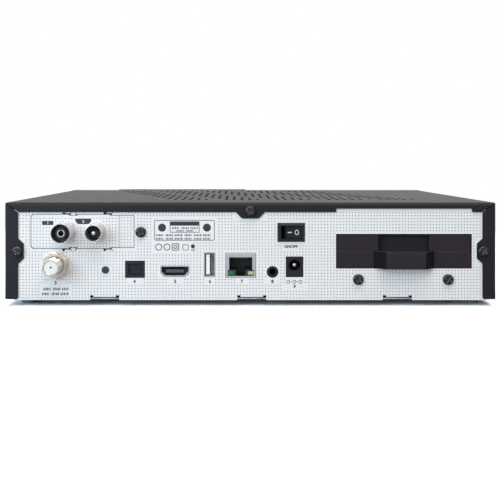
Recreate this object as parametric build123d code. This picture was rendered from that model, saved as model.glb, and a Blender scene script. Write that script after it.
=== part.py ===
from build123d import *
import os

# A satellite television receiver, in millimetres. X runs along the rear panel, -Y is the rear and +Z is up.
# The origin is the middle of the footprint, on the surface that the feet stand on.

# ---- Case ----------------------------------------------------------------------------------------
WIDTH = 270.0           # over the cover's side walls
DEPTH = 200.0           # from the cover's rear flange to the bezel's front
BODY_H = 53.75          # from the rear panel's lower edge to the cover's top
FOOT_H = 4.0
SHEET = 0.8             # folded steel of the cover, rear panel, base pan, bracket and drive bay
BEND = 1.8              # outside radius of the cover's fold above its rear flange
SIDE_BEND = 1.0         # outside radius of its folds along the sides
BASE_W = 260.0          # over the base pan's side walls
BASE_WALL_H = 10.0      # the base pan's walls end below the board
PANEL_DROP = 0.5        # the rear panel hangs this far below the base pan
COVER_LIFT = 0.6        # the cover's sides end this far above the rear panel's lower edge
PANEL_SIDE_GAP = 0.1    # rear panel to the inside of the cover's folds
FIT = 0.2               # clearance round a piece that sits in a hole
SLIP = 0.3              # clearance beside a piece that slides or swings
PIN_FIT = 0.05          # radial clearance of a hinge pin

# The cover's rear flanges, with the three lobes that its screws go through
SIDE_FLANGE = 7.2
TOP_FLANGE = 5.25
TRAY_RELIEF = 1.9       # the top flange is this much narrower above the drive tray
LOBE_REACH = 3.1
LOBE_FLAT = 8.0
LOBE_RAMP = 2.9
SIDE_SCREW_Z = 27.0     # above the rear panel's lower edge, as all heights on the panel are
SIDE_SCREW_IN = 7.0     # from the cover's side
TOP_LOBE_W = 15.9
TOP_LOBE_TIP = 9.3
TOP_LOBE_REACH = 3.5
TOP_SCREW_DROP = 4.7    # below the cover's top
MITRE_GAP = 0.5
FLANGE_ROUND = 0.5
FLANGE_TIP_ROUND = 1.2  # the inner lower corners of the side flanges
LOBE_ROUND = 1.6

# Vents in the cover: slanted bands of short slots
VENT_BANDS = 5
VENT_COLUMNS = 5
VENT_BAND_PITCH = 30.5
VENT_PITCH = 4.6        # between two columns, and between the starts of two rows
VENT_SLOT_W = 1.8
VENT_SLOT_L = 9.0
VENT_ROW_PITCH = 12.5
VENT_REAR = 36.0        # from the rear flange to the first row
VENT_FRONT = 25.0       # from the last row to the bezel's front
VENT_CENTRE_X = 1.0

# Three lower notches of the rear panel, which the base pan's tabs fill
NOTCH_XS = (-80.2, 0.8, 81.0)
NOTCH_W = 16.0
NOTCH_H = 1.75
NOTCH_RELIEF_W = 1.8
NOTCH_RELIEF_H = 2.6
BASE_VENT_COUNT = 12
BASE_VENT_PITCH = 8.0
BASE_VENT_W = 3.0
BASE_VENT_L = 60.0

# Feet
FOOT_R = 4.6
FOOT_TIP_R = 4.0
FOOT_STEM_R = 2.0
FOOT_IN_X = 4.6         # from the base pan's side to the foot's centre
FOOT_IN_REAR = 15.0
FOOT_IN_FRONT = 26.0

# ---- Fasteners -----------------------------------------------------------------------------------
HEAD_R = 2.95
HEAD_H = 1.9
HEAD_ROUND = 0.9
SHANK_R = 1.45
SHANK_L = 6.0
CROSS_L = 3.4
CROSS_W = 0.7
CROSS_DEPTH = 1.1

# ---- Front ---------------------------------------------------------------------------------------
BEZEL_DEPTH = 16.0
BEZEL_WALL = 2.2
BEZEL_ROUND = 2.0
BEZEL_PROUD = 0.2       # the bezel stands this far above the cover's top
BEZEL_LIP = 3.0         # how far the bezel reaches into the cover
BEZEL_LIP_WALL = 1.6
FLAP_LEFT = -100.0
FLAP_RIGHT = -0.2
FLAP_LOW = 6.0          # above the rear panel's lower edge
FLAP_T = 3.0
FLAP_PROUD = 0.6        # the closed flap stands this far above the cover's top
FLAP_PIN_R = 1.0
FLAP_PIN_L = 2.5
WINDOW_LEFT = 16.0
WINDOW_RIGHT = 100.0
WINDOW_LOW = 14.0
WINDOW_HIGH = 44.0
WINDOW_T = 1.5
WINDOW_LEDGE = 2.0
BUTTON_X = 118.0
BUTTON_Z = 29.0
BUTTON_R = 6.0
BUTTON_PROUD = 0.8
BUTTON_TRAVEL = 0.8
BUTTON_STEM_R = 2.0

# ---- Main board ----------------------------------------------------------------------------------
BOARD_H = 12.4          # the board's top above the rear panel's lower edge
BOARD_T = 1.6
BOARD_SIDE_GAP = 1.0    # from the base pan's side
BOARD_REAR_GAP = 1.5    # from the rear panel
BOARD_FRONT_GAP = 9.0   # from the bezel's front
BOARD_SPLIT_X = 4.3     # from the drive bay to the side of the board's rear part
STANDOFF_R = 3.0
SINK_SIDE = 38.0
SINK_BASE = 3.0
SINK_FIN_H = 12.0
SINK_FIN_T = 1.2
SINK_FINS = 9
SINK_X = -22.0
SINK_DEPTH = 84.0       # from the rear flange to the heat sink's centre
PROCESSOR_SIDE = 27.0
PROCESSOR_T = 2.2
CHIP_W = 10.0
CHIP_L = 13.0
CHIP_T = 1.2
CAP_R = 4.0
CAP_H = 12.0
HEADER_W = 26.0
HEADER_L = 8.0
HEADER_H = 5.0

# ---- Sockets on the rear panel: centre along X, and sizes ------------------------------------------
# Satellite input, a 3/8 inch threaded barrel with a washer and a hexagonal nut, from the cover's left side
F_X = 27.8
F_RISE = 7.0            # its centre above the board
F_REACH = 12.0          # from the cover's rear flange to its tip
F_BARREL_R = 4.72       # over the thread
F_ROOT_R = 4.4          # at the thread's root, under the nut
F_BORE_R = 3.7
F_TIP_BEVEL = 0.5
F_COLLAR_R = 6.5
F_COLLAR_T = 1.5
F_WASHER_R = 7.1
F_WASHER_T = 0.7
F_NUT_AF = 12.8
F_NUT_T = 2.6
F_CONTACT_R = 0.9
F_CONTACT_BORE = 0.5
SAT_CAN_W = 25.0
SAT_CAN_H = 14.2
SAT_CAN_L = 40.0

# Plug-in tuner: a plate in its own opening with two coaxial sockets, all from the cover's left side
TUNER_X = 42.6
TUNER_Z = 37.8
TUNER_W = 56.5
TUNER_H = 18.6
TUNER_ROUND = 1.9
TUNER_GAP = 0.3
TUNER_STEP = 0.55       # the plate is this much lower above and below at its tabs and right of its step
TUNER_STEP_X = 58.4
TUNER_SCORE_IN = 8.0    # from the plate's right edge to its scored line
TUNER_SCORE = 0.35
RELIEF_R = 0.8
RELIEF_REACH = 1.25     # beyond the opening's edge
RELIEF_GAP = 0.35       # the wider gap from a relief to the tab or the step beside it
RELIEF_XS = (32.2, 54.9)
TAB_X = 37.5
TAB_W = 3.4
TAB_GAP = 0.6
SLIT_W = 0.4
SLIT_L = 1.7
SLIT_LEAN = 22.0        # degrees from upright
ANTENNA_X = 32.9
LOOP_X = 50.2
COAX_Z = 37.6
ANTENNA_R = 5.3
ANTENNA_REACH = 11.4
ANTENNA_WALL = 0.25
ANTENNA_FLANGE_R = 6.3
LOOP_R = 4.5
LOOP_REACH = 10.2
LOOP_WALL = 0.3
LOOP_FLANGE_R = 5.4
COAX_FLANGE_T = 0.8
COAX_CUP_DEPTH = 3.8    # of the dark cup in front of the input's contact ring
COAX_CONTACT_R = 2.0
COAX_CONTACT_BORE = 1.55
COAX_SLOT_W = 0.7
COAX_SLOT_L = 6.0
COAX_PIN_R = 1.15
TUNER_SCREW_X = 74.7
TUNER_SCREW_Z = 37.5
BRACKET_LEFT = 15.5
BRACKET_RIGHT = 79.5
BRACKET_LOW = 27.0
BRACKET_DEPTH = 48.0
TUNER_CAN_W = 42.0
TUNER_CAN_H = 18.0
TUNER_CAN_L = 44.0
CARD_SLOT_W = 18.0
CARD_SLOT_T = 8.0
PLUG_X = -79.8
PLUG_Z = 16.6
PLUG_R = 2.05
PLUG_HOLE_R = 1.5
PLUG_T = 0.6

# Sockets on the board, each with its lift above the board
OPTICAL_X = -63.5
OPTICAL_W = 10.6
OPTICAL_H = 9.1
OPTICAL_L = 16.0
OPTICAL_DOOR_W = 7.2
OPTICAL_DOOR_H = 6.0
OPTICAL_CAVITY = 9.0
SHUTTER_T = 0.9
SHUTTER_PIN_R = 0.45
VIDEO_X = -41.5
VIDEO_W = 15.5
VIDEO_H = 5.8
VIDEO_L = 11.0
VIDEO_CHAMFER = 2.1
VIDEO_WALL = 0.4
VIDEO_LIFT = 0.6
VIDEO_TONGUE_W = 9.9
VIDEO_TONGUE_T = 1.8
USB_X = -22.4
USB_W = 5.9
USB_H = 13.3
USB_L = 14.0
USB_WALL = 0.4
USB_LIFT = 0.5
USB_TONGUE_W = 2.0
USB_TONGUE_H = 11.0
USB_CONTACT_T = 0.3
USB_CONTACT_H = 1.0
USB_CONTACT_PITCH = 2.4
LAN_X = -5.25
LAN_W = 16.6
LAN_H = 13.3
LAN_L = 21.0
LAN_WALL = 0.3
LAN_LIFT = 0.2
LAN_PORT_W = 12.4
LAN_PORT_H = 6.8
LAN_PORT_DROP = 2.5     # from the shell's top to the port
LAN_KEY_W = 4.9
LAN_KEY_H = 3.4
LAN_PORT_DEPTH = 13.0
LAN_LIGHT_W = 3.1
LAN_LIGHT_H = 1.9
LAN_LIGHT_OUT = 5.4     # from the key slot's centre
LAN_LIGHT_DEPTH = 4.0
LAN_CONTACTS = 8
LAN_CONTACT_PITCH = 1.02
LAN_CONTACT_SIDE = 0.45
REMOTE_X = 12.25
REMOTE_RISE = 3.1
REMOTE_NOSE_R = 3.05
REMOTE_BORE_R = 1.8
REMOTE_BORE_L = 13.0
REMOTE_BODY_W = 7.4
REMOTE_BODY_L = 14.0
POWER_X = 24.4
POWER_W = 9.3
POWER_H = 11.0
POWER_L = 14.0
POWER_LIFT = 0.4
POWER_BORE_R = 3.2
POWER_BORE_L = 9.5
POWER_PIN_R = 1.05
POWER_PIN_IN = 1.2      # the pin ends this far inside the mouth

# Rocker switch
SWITCH_X = 22.5
SWITCH_Z = 37.3
SWITCH_W = 15.1
SWITCH_H = 10.4
SWITCH_PROUD = 1.6
SWITCH_BEVEL = 1.2
SWITCH_BODY_IN = 1.0    # the body behind the panel is this much smaller all round
SWITCH_BODY_L = 12.0
SWITCH_MOUTH_W = 11.3
SWITCH_MOUTH_H = 7.3
SWITCH_MOUTH_DEPTH = 8.4
ROCKER_W = 8.5          # along its face, which is hollow
ROCKER_DISH = 0.8       # the face's ends stand this far out of its middle
ROCKER_TILT = 12.0      # degrees either way from its middle
ROCKER_PIVOT_IN = 5.0   # the pivot's depth behind the panel's outer face
ROCKER_RISE = 5.6       # from the pivot to the face's middle
ROCKER_BACK = 2.2       # from the pivot to its back
ROCKER_BACK_W = 4.8
ROCKER_PIN_R = 0.9
ROCKER_PIN_L = 0.8

# ---- Drive bay and tray --------------------------------------------------------------------------
TRAY_X = 50.4           # from the cover's right side to the tray's centre
TRAY_Z = 26.9
TRAY_W = 74.8           # of the opening
TRAY_H = 19.1
TRAY_CORNER = 0.5
TRAY_GAP = 0.5          # between the opening and the tray's face
TRAY_RECESS = 0.5
TRAY_FRONT_L = 11.0
TRAY_STEP = 0.3         # the lower half of the tray's face stands out by this much
POCKET_W = 28.0
POCKET_H = 9.2
POCKET_DEPTH = 4.6
HANDLE_W = 34.0
HANDLE_FRONT_W = 21.6
HANDLE_H = 9.2
HANDLE_REACH = 7.0
BAY_L = 128.0
BAY_LIP = 6.0
BAY_SCREW_XS = (75.6, 26.2)
BAY_SCREW_Z = 11.4
BAY_FLANGE_LOW = 7.5
SLED_L = 112.0
SLED_FLOOR = 1.0
DRIVE_W = 69.8
DRIVE_L = 100.0
DRIVE_H = 9.5
DRIVE_REAR_GAP = 3.0    # from the tray's front to the drive
DRIVE_SCREW_R = 2.4
DRIVE_SCREW_T = 0.8
DRIVE_SCREW_STEM = 1.2
DRIVE_SCREW_ENDS = 14.0
BACKPLANE_W = 60.0
DRIVE_PLUG_W = 34.0
DRIVE_PLUG_H = 5.0

# ---- Behind the flap -----------------------------------------------------------------------------
READER_X = -65.0
READER_W = 58.0
READER_H = 5.0
READER_L = 52.0
READER_SLOT_W = 54.5
READER_SLOT_H = 1.4
MODULE_W = 66.0
MODULE_H = 9.0
MODULE_L = 62.0
MODULE_SLOT_W = 55.0
MODULE_SLOT_H = 5.8
MODULE_LIFT = 8.0
MODULE_LEG = 3.0

# ---- Worked out from the sizes above -------------------------------------------------------------
LAYOUT_W = 270.0        # the width and the height that the places on the rear panel are given for
LAYOUT_H = 53.75

REAR = (F_REACH - BUTTON_PROUD - DEPTH) / 2
FRONT = REAR + DEPTH
JOINT = FRONT - BEZEL_DEPTH
PANEL_OUT = REAR + SHEET
PANEL_IN = PANEL_OUT + SHEET
BASE_Z = FOOT_H
FLOOR_TOP = BASE_Z + SHEET
PANEL_Z = BASE_Z - PANEL_DROP
TOP = PANEL_Z + BODY_H
COVER_Z = PANEL_Z + COVER_LIFT
HALF_W = WIDTH / 2
HALF_BASE = BASE_W / 2
BOARD_TOP = PANEL_Z + BOARD_H
BOARD_LOW = BOARD_TOP - BOARD_T
PANEL_HALF = HALF_W - BEND - PANEL_SIDE_GAP
PANEL_TOP = TOP - BEND - PANEL_SIDE_GAP


def across(x):
    """A place along the rear panel, from its middle."""
    return x * WIDTH / LAYOUT_W


def from_left(x):
    """A place along the rear panel, from the cover's left side."""
    return x - HALF_W


def from_right(x):
    """A place along the rear panel, from the cover's right side."""
    return HALF_W - x


def above(z):
    """A height above the rear panel's lower edge, as a Z."""
    return PANEL_Z + z * BODY_H / LAYOUT_H


BAY_IN = PANEL_IN + BAY_L
TRAY_LOW = above(TRAY_Z) - TRAY_H / 2
TRAY_TOP = TRAY_LOW + TRAY_H
TRAY_LEFT = from_right(TRAY_X) - TRAY_W / 2
TRAY_RIGHT = TRAY_LEFT + TRAY_W
F_Z = BOARD_TOP + F_RISE
REMOTE_Z = BOARD_TOP + REMOTE_RISE
FLAP_Z = PANEL_Z + FLAP_LOW
FLAP_PIVOT_Y = FRONT - FLAP_T / 2
FLAP_PIVOT_Z = FLAP_Z + FLAP_T / 2


# ---- Shapes used throughout ----------------------------------------------------------------------
def block(x0, x1, y0, y1, z0, z1):
    """A rectangular solid between two corners."""
    return Pos((x0 + x1) / 2, (y0 + y1) / 2, (z0 + z1) / 2) * Box(x1 - x0, y1 - y0, z1 - z0)


def centred(x, width, y0, y1, z0, z1):
    """A rectangular solid centred on x."""
    return block(x - width / 2, x + width / 2, y0, y1, z0, z1)


def rod_x(y, z, radius, x0, x1):
    return Pos((x0 + x1) / 2, y, z) * Rot(0, 90, 0) * Cylinder(radius, x1 - x0)


def rod_y(x, z, radius, y0, y1):
    return Pos(x, (y0 + y1) / 2, z) * Rot(90, 0, 0) * Cylinder(radius, y1 - y0)


def rod_z(x, y, radius, z0, z1):
    return Pos(x, y, (z0 + z1) / 2) * Cylinder(radius, z1 - z0)


def tube_y(x, z, radius, bore, y0, y1):
    return rod_y(x, z, radius, y0, y1) - rod_y(x, z, bore, y0, y1)


def outline(points):
    return make_face(Polyline(*points, close=True))


def upright(shape, y0, y1):
    """A shape drawn in X and Z, made solid from y0 to y1."""
    plane = Plane(origin=(0, y1, 0), x_dir=(1, 0, 0), z_dir=(0, -1, 0))
    return extrude(plane * shape, amount=y1 - y0)


def level(shape, z0, z1):
    """A shape drawn in X and Y, made solid from z0 to z1."""
    return extrude(Pos(0, 0, z0) * shape, amount=z1 - z0)


def screw_y(x, z, seat):
    """A pan-head screw whose head sits on the face at y = seat and points to the rear."""
    head = rod_y(x, z, HEAD_R, seat - HEAD_H, seat)
    head = fillet(head.edges().filter_by(GeomType.CIRCLE).sort_by(Axis.Y)[0], HEAD_ROUND)
    recess = [
        Pos(x, seat - HEAD_H + CROSS_DEPTH / 2, z) * Rot(0, turn, 0) * Box(CROSS_L, CROSS_DEPTH, CROSS_W)
        for turn in (30, 120)
    ]
    return head + rod_y(x, z, SHANK_R, seat, seat + SHANK_L) - recess


def screw_z(x, y, seat):
    """The same screw, pointing down, with its head on the face at z = seat."""
    return Pos(x, y, seat) * Rot(-90, 0, 0) * screw_y(0, 0, 0)


# ---- Case ----------------------------------------------------------------------------------------
def folded(half, y0, y1, z0, z1, radius, side_radius):
    """A box rounded along its top and upright edges, which meet in a mitre at each rear corner."""
    solid = block(-half, half, y0, y1, z0, z1)
    above_rear = fillet(solid.edges().filter_by(Axis.X).group_by(Axis.Z)[-1].sort_by(Axis.Y)[:1], radius)
    along_sides = fillet(solid.edges().filter_by(Axis.Y).group_by(Axis.Z)[-1], side_radius)
    uprights = fillet(solid.edges().filter_by(Axis.Z).group_by(Axis.Y)[0], side_radius)
    return above_rear & along_sides & uprights


def cover_window():
    """The opening inside the cover's rear flanges."""
    inner = HALF_W - SIDE_FLANGE
    under = TOP - TOP_FLANGE
    screw_z_at = above(SIDE_SCREW_Z)
    left = [
        (-inner, COVER_Z - BEND),
        (-inner, screw_z_at - LOBE_FLAT / 2 - LOBE_RAMP),
        (-inner + LOBE_REACH, screw_z_at - LOBE_FLAT / 2),
        (-inner + LOBE_REACH, screw_z_at + LOBE_FLAT / 2),
        (-inner, screw_z_at + LOBE_FLAT / 2 + LOBE_RAMP),
        (-inner, under),
    ]
    lobe = [
        (-TOP_LOBE_W / 2, under),
        (-TOP_LOBE_TIP / 2, under - TOP_LOBE_REACH),
        (TOP_LOBE_TIP / 2, under - TOP_LOBE_REACH),
        (TOP_LOBE_W / 2, under),
    ]
    relief = [
        (TRAY_LEFT, under),
        (TRAY_LEFT, under + TRAY_RELIEF),
        (TRAY_RIGHT, under + TRAY_RELIEF),
        (TRAY_RIGHT, under),
    ]
    right = [(-x, z) for x, z in reversed(left)]
    face = outline(left + lobe + relief + right)
    at_lobe = [v for v in face.vertices() if abs(v.X) < TOP_LOBE_W and v.Y < under - TOP_LOBE_REACH / 2]
    face = fillet([v for v in at_lobe if v.Y > above(SIDE_SCREW_Z)], LOBE_ROUND)
    upper = [v for v in face.vertices() if v.Y > COVER_Z and abs(v.X) > TOP_LOBE_W]
    tip = FLANGE_TIP_ROUND
    corners = [
        Pos(side * (inner + tip / 2), COVER_Z + tip / 2) * Rectangle(tip, tip)
        - Pos(side * (inner + tip), COVER_Z + tip) * Circle(tip)
        for side in (-1, 1)
    ]
    return fillet(upper, FLANGE_ROUND) + corners


def mitre(side):
    """The slit between the top flange and a side flange, from corner to corner."""
    corner = Vector(side * HALF_W, TOP)
    inside = Vector(side * (HALF_W - SIDE_FLANGE), TOP - TOP_FLANGE)
    run = inside - corner
    angle = Vector(1, 0).get_signed_angle(run, Vector(0, 0, 1))
    middle = (corner + inside) * 0.5
    slit = Pos(middle.X, middle.Y) * Rot(0, 0, angle) * Rectangle(run.length + MITRE_GAP, MITRE_GAP)
    return upright(slit, REAR - SHEET, PANEL_OUT)


def vent_slots():
    """Slanted bands of slots along the depth."""
    rows = int((DEPTH - VENT_REAR - VENT_FRONT) / VENT_ROW_PITCH) + 1
    slot = RectangleRounded(VENT_SLOT_W, VENT_SLOT_L, VENT_SLOT_W * 0.45)
    slots = []
    for band in range(VENT_BANDS):
        for row in range(rows):
            y = REAR + VENT_REAR + row * VENT_ROW_PITCH
            middle = VENT_CENTRE_X + (band - (VENT_BANDS - 1) / 2) * VENT_BAND_PITCH
            middle -= (row - (rows - 1) / 2) * VENT_PITCH
            for column in range(VENT_COLUMNS):
                x = middle + (column - (VENT_COLUMNS - 1) / 2) * VENT_PITCH
                slots.append(Pos(x, y) * slot)
    return slots


def top_cover():
    outer = folded(HALF_W, REAR, JOINT, COVER_Z, TOP, BEND, SIDE_BEND)
    inner = folded(HALF_W - SHEET, PANEL_OUT, JOINT + BEND * 2, COVER_Z + SHEET, TOP - SHEET,
                   BEND - SHEET, SIDE_BEND - SHEET)
    underside = block(-HALF_BASE, HALF_BASE, PANEL_OUT, JOINT + SHEET, COVER_Z - SHEET, COVER_Z + SHEET * 2)
    cover = outer - inner - underside - upright(cover_window(), REAR - SHEET, PANEL_OUT)
    cover = cover - [mitre(-1), mitre(1)]
    holes = [rod_y(x, z, SHANK_R + FIT, REAR - SHEET, PANEL_OUT) for x, z in cover_screw_places()]
    slots = [level(slot, TOP - SHEET * 2, TOP + SHEET) for slot in vent_slots()]
    return cover - holes - slots


def cover_screw_places():
    side_x = HALF_W - SIDE_SCREW_IN
    return [
        (-side_x, above(SIDE_SCREW_Z)),
        (0, TOP - TOP_SCREW_DROP),
        (side_x, above(SIDE_SCREW_Z)),
    ]


def panel_screw_places():
    bay = [(from_right(x), above(BAY_SCREW_Z)) for x in BAY_SCREW_XS]
    return [(from_left(TUNER_SCREW_X), above(TUNER_SCREW_Z))] + bay


def tuner_outline(grow, tab_gap):
    """The outline of the tuner plate or its opening, lower at its tabs and right end."""
    half = TUNER_W / 2 + grow
    high = TUNER_H / 2 + grow
    low = high - TUNER_STEP
    tab_left = TAB_X - TUNER_X - TAB_W / 2 - tab_gap
    tab_right = TAB_X - TUNER_X + TAB_W / 2 + tab_gap
    step = TUNER_STEP_X - TUNER_X - tab_gap
    upper = [
        (-half, high), (tab_left, high), (tab_left, low), (tab_right, low),
        (tab_right, high), (step, high), (step, low), (half, low),
    ]
    face = outline(upper + [(x, -z) for x, z in reversed(upper)])
    face = fillet(face.vertices().sort_by(Axis.X)[:2], TUNER_ROUND)
    return Pos(from_left(TUNER_X), above(TUNER_Z)) * face


def tuner_reliefs():
    """Round reliefs, wider gaps and leaning slits along the tuner opening's upper and lower edges."""
    cuts = []
    ends = (TAB_X - TAB_W / 2, TUNER_STEP_X)
    for side in (-1, 1):
        edge = above(TUNER_Z) + side * (TUNER_H / 2 + TUNER_GAP)
        for relief, end in zip(RELIEF_XS, ends):
            left, right = from_left(relief), from_left(end)
            middle = edge + side * (RELIEF_REACH - RELIEF_R)
            cuts.append(Pos(left, middle) * Circle(RELIEF_R))
            cuts.append(Pos(left, (edge + middle) / 2) * Rectangle(RELIEF_R * 2, abs(middle - edge)))
            cuts.append(Pos((left + right) / 2, edge) * Rectangle(right - left, RELIEF_GAP * 2))
        for x, lean in ((ends[0], -side), (TAB_X + TAB_W / 2, side), (ends[1], -side)):
            slit = Rot(0, 0, lean * SLIT_LEAN) * Pos(0, side * SLIT_L / 2) * Rectangle(SLIT_W, SLIT_L)
            cuts.append(Pos(from_left(x), edge - side * TUNER_STEP) * slit)
    return cuts


def video_outline(grow):
    """A wide socket with two chamfered lower corners."""
    half = VIDEO_W / 2 + grow
    low = BOARD_TOP + VIDEO_LIFT - grow
    high = BOARD_TOP + VIDEO_LIFT + VIDEO_H + grow
    x = across(VIDEO_X)
    return outline([
        (x - half, high),
        (x - half, low + VIDEO_CHAMFER),
        (x - half + VIDEO_CHAMFER, low),
        (x + half - VIDEO_CHAMFER, low),
        (x + half, low + VIDEO_CHAMFER),
        (x + half, high),
    ])


def framed(x, low, width, height, grow):
    """A rectangle standing on the height low, grown on all sides."""
    return Pos(across(x), low + height / 2) * Rectangle(width + grow * 2, height + grow * 2)


def notch(x, slack):
    """The room in the rear panel for one of the base pan's tabs."""
    middle = across(x)
    slot = Pos(middle, PANEL_Z) * Rectangle(NOTCH_W + slack * 2, NOTCH_H * 2)
    ends = [
        Pos(middle + side * (NOTCH_W - NOTCH_RELIEF_W) / 2, PANEL_Z)
        * Rectangle(NOTCH_RELIEF_W, NOTCH_RELIEF_H * 2)
        for side in (-1, 1)
    ]
    return slot + ends


def rear_panel():
    corner = PANEL_HALF - (HALF_W - SIDE_FLANGE)
    low = COVER_Z + SHEET * 2
    points = [
        (-HALF_BASE, PANEL_Z),
        (-HALF_BASE, low),
        (-PANEL_HALF, low),
        (-PANEL_HALF, PANEL_TOP - corner),
        (-PANEL_HALF + corner, PANEL_TOP),
    ]
    sheet = outline(points + [(-x, z) for x, z in reversed(points)])
    screws = cover_screw_places() + panel_screw_places()
    holes = [Pos(x, z) * Circle(SHANK_R + PIN_FIT) for x, z in screws]
    holes += [
        tuner_outline(TUNER_GAP, 0),
        Pos(from_left(F_X), F_Z) * Circle(F_BARREL_R + FIT),
        Pos(across(PLUG_X), above(PLUG_Z)) * Circle(PLUG_HOLE_R),
        framed(OPTICAL_X, BOARD_TOP, OPTICAL_W, OPTICAL_H, FIT),
        video_outline(FIT),
        framed(USB_X, BOARD_TOP + USB_LIFT, USB_W, USB_H, FIT),
        framed(LAN_X, BOARD_TOP + LAN_LIFT, LAN_W, LAN_H, FIT),
        Pos(across(REMOTE_X), REMOTE_Z) * Circle(REMOTE_NOSE_R + FIT),
        framed(POWER_X, BOARD_TOP + POWER_LIFT, POWER_W, POWER_H, FIT),
        Pos(across(SWITCH_X), above(SWITCH_Z))
        * Rectangle(SWITCH_W - SWITCH_BODY_IN * 2 + FIT * 2, SWITCH_H - SWITCH_BODY_IN * 2 + FIT * 2),
        Pos(from_right(TRAY_X), TRAY_LOW + TRAY_H / 2) * RectangleRounded(TRAY_W, TRAY_H, TRAY_CORNER),
    ]
    holes += [notch(x, 0) for x in NOTCH_XS] + tuner_reliefs()
    return upright(sheet - holes, PANEL_OUT, PANEL_IN)


def foot_places():
    x = HALF_BASE - FOOT_IN_X
    return [(side * x, y) for side in (-1, 1) for y in (REAR + FOOT_IN_REAR, FRONT - FOOT_IN_FRONT)]


def board_split():
    """The right side of the board's rear part, beside the drive bay."""
    return TRAY_LEFT - SHEET - BOARD_SPLIT_X


def standoff_places():
    left = -HALF_BASE + BOARD_SIDE_GAP + STANDOFF_R * 1.6
    right = HALF_BASE - BOARD_SIDE_GAP - STANDOFF_R * 1.6
    split = board_split() - STANDOFF_R * 1.6
    front = FRONT - FOOT_IN_FRONT - STANDOFF_R * 4
    return [
        (left, PANEL_IN + SAT_CAN_L + STANDOFF_R * 3),
        (left, front),
        (split, PANEL_IN + POWER_L + STANDOFF_R * 3),
        (split, front),
        (right, front),
    ]


def base_pan():
    pan = block(-HALF_BASE, HALF_BASE, PANEL_IN, JOINT, BASE_Z, BASE_Z + BASE_WALL_H)
    inside = (HALF_BASE - SHEET) * 2
    pan = pan - centred(0, inside, PANEL_IN - SHEET, JOINT + SHEET, FLOOR_TOP, BASE_Z + BASE_WALL_H * 2)
    tabs = [
        centred(across(x), NOTCH_W - FIT * 2, PANEL_OUT, PANEL_IN, BASE_Z, FLOOR_TOP)
        for x in NOTCH_XS
    ]
    stems = [rod_z(x, y, FOOT_STEM_R + PIN_FIT, BASE_Z - SHEET, FLOOR_TOP + SHEET) for x, y in foot_places()]
    slot = RectangleRounded(BASE_VENT_W, BASE_VENT_L, BASE_VENT_W * 0.45)
    middle = (REAR + FRONT) / 2
    shift = (BASE_VENT_COUNT - 1) / 2
    vents = [
        level(
            Pos(across(SINK_X) + (i - shift) * BASE_VENT_PITCH, middle) * slot,
            BASE_Z - SHEET, FLOOR_TOP + SHEET,
        )
        for i in range(BASE_VENT_COUNT)
    ]
    return pan + tabs - stems - vents


def feet():
    made = []
    for x, y in foot_places():
        body = Pos(x, y, FOOT_H / 2) * Cone(FOOT_TIP_R, FOOT_R, FOOT_H)
        made.append(body + rod_z(x, y, FOOT_STEM_R, FOOT_H, FLOOR_TOP + SHEET))
    return Compound(children=made)


def cover_screws():
    return Compound(children=[screw_y(x, z, REAR) for x, z in cover_screw_places()])


def panel_screws():
    return Compound(children=[screw_y(x, z, PANEL_OUT) for x, z in panel_screw_places()])


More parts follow.
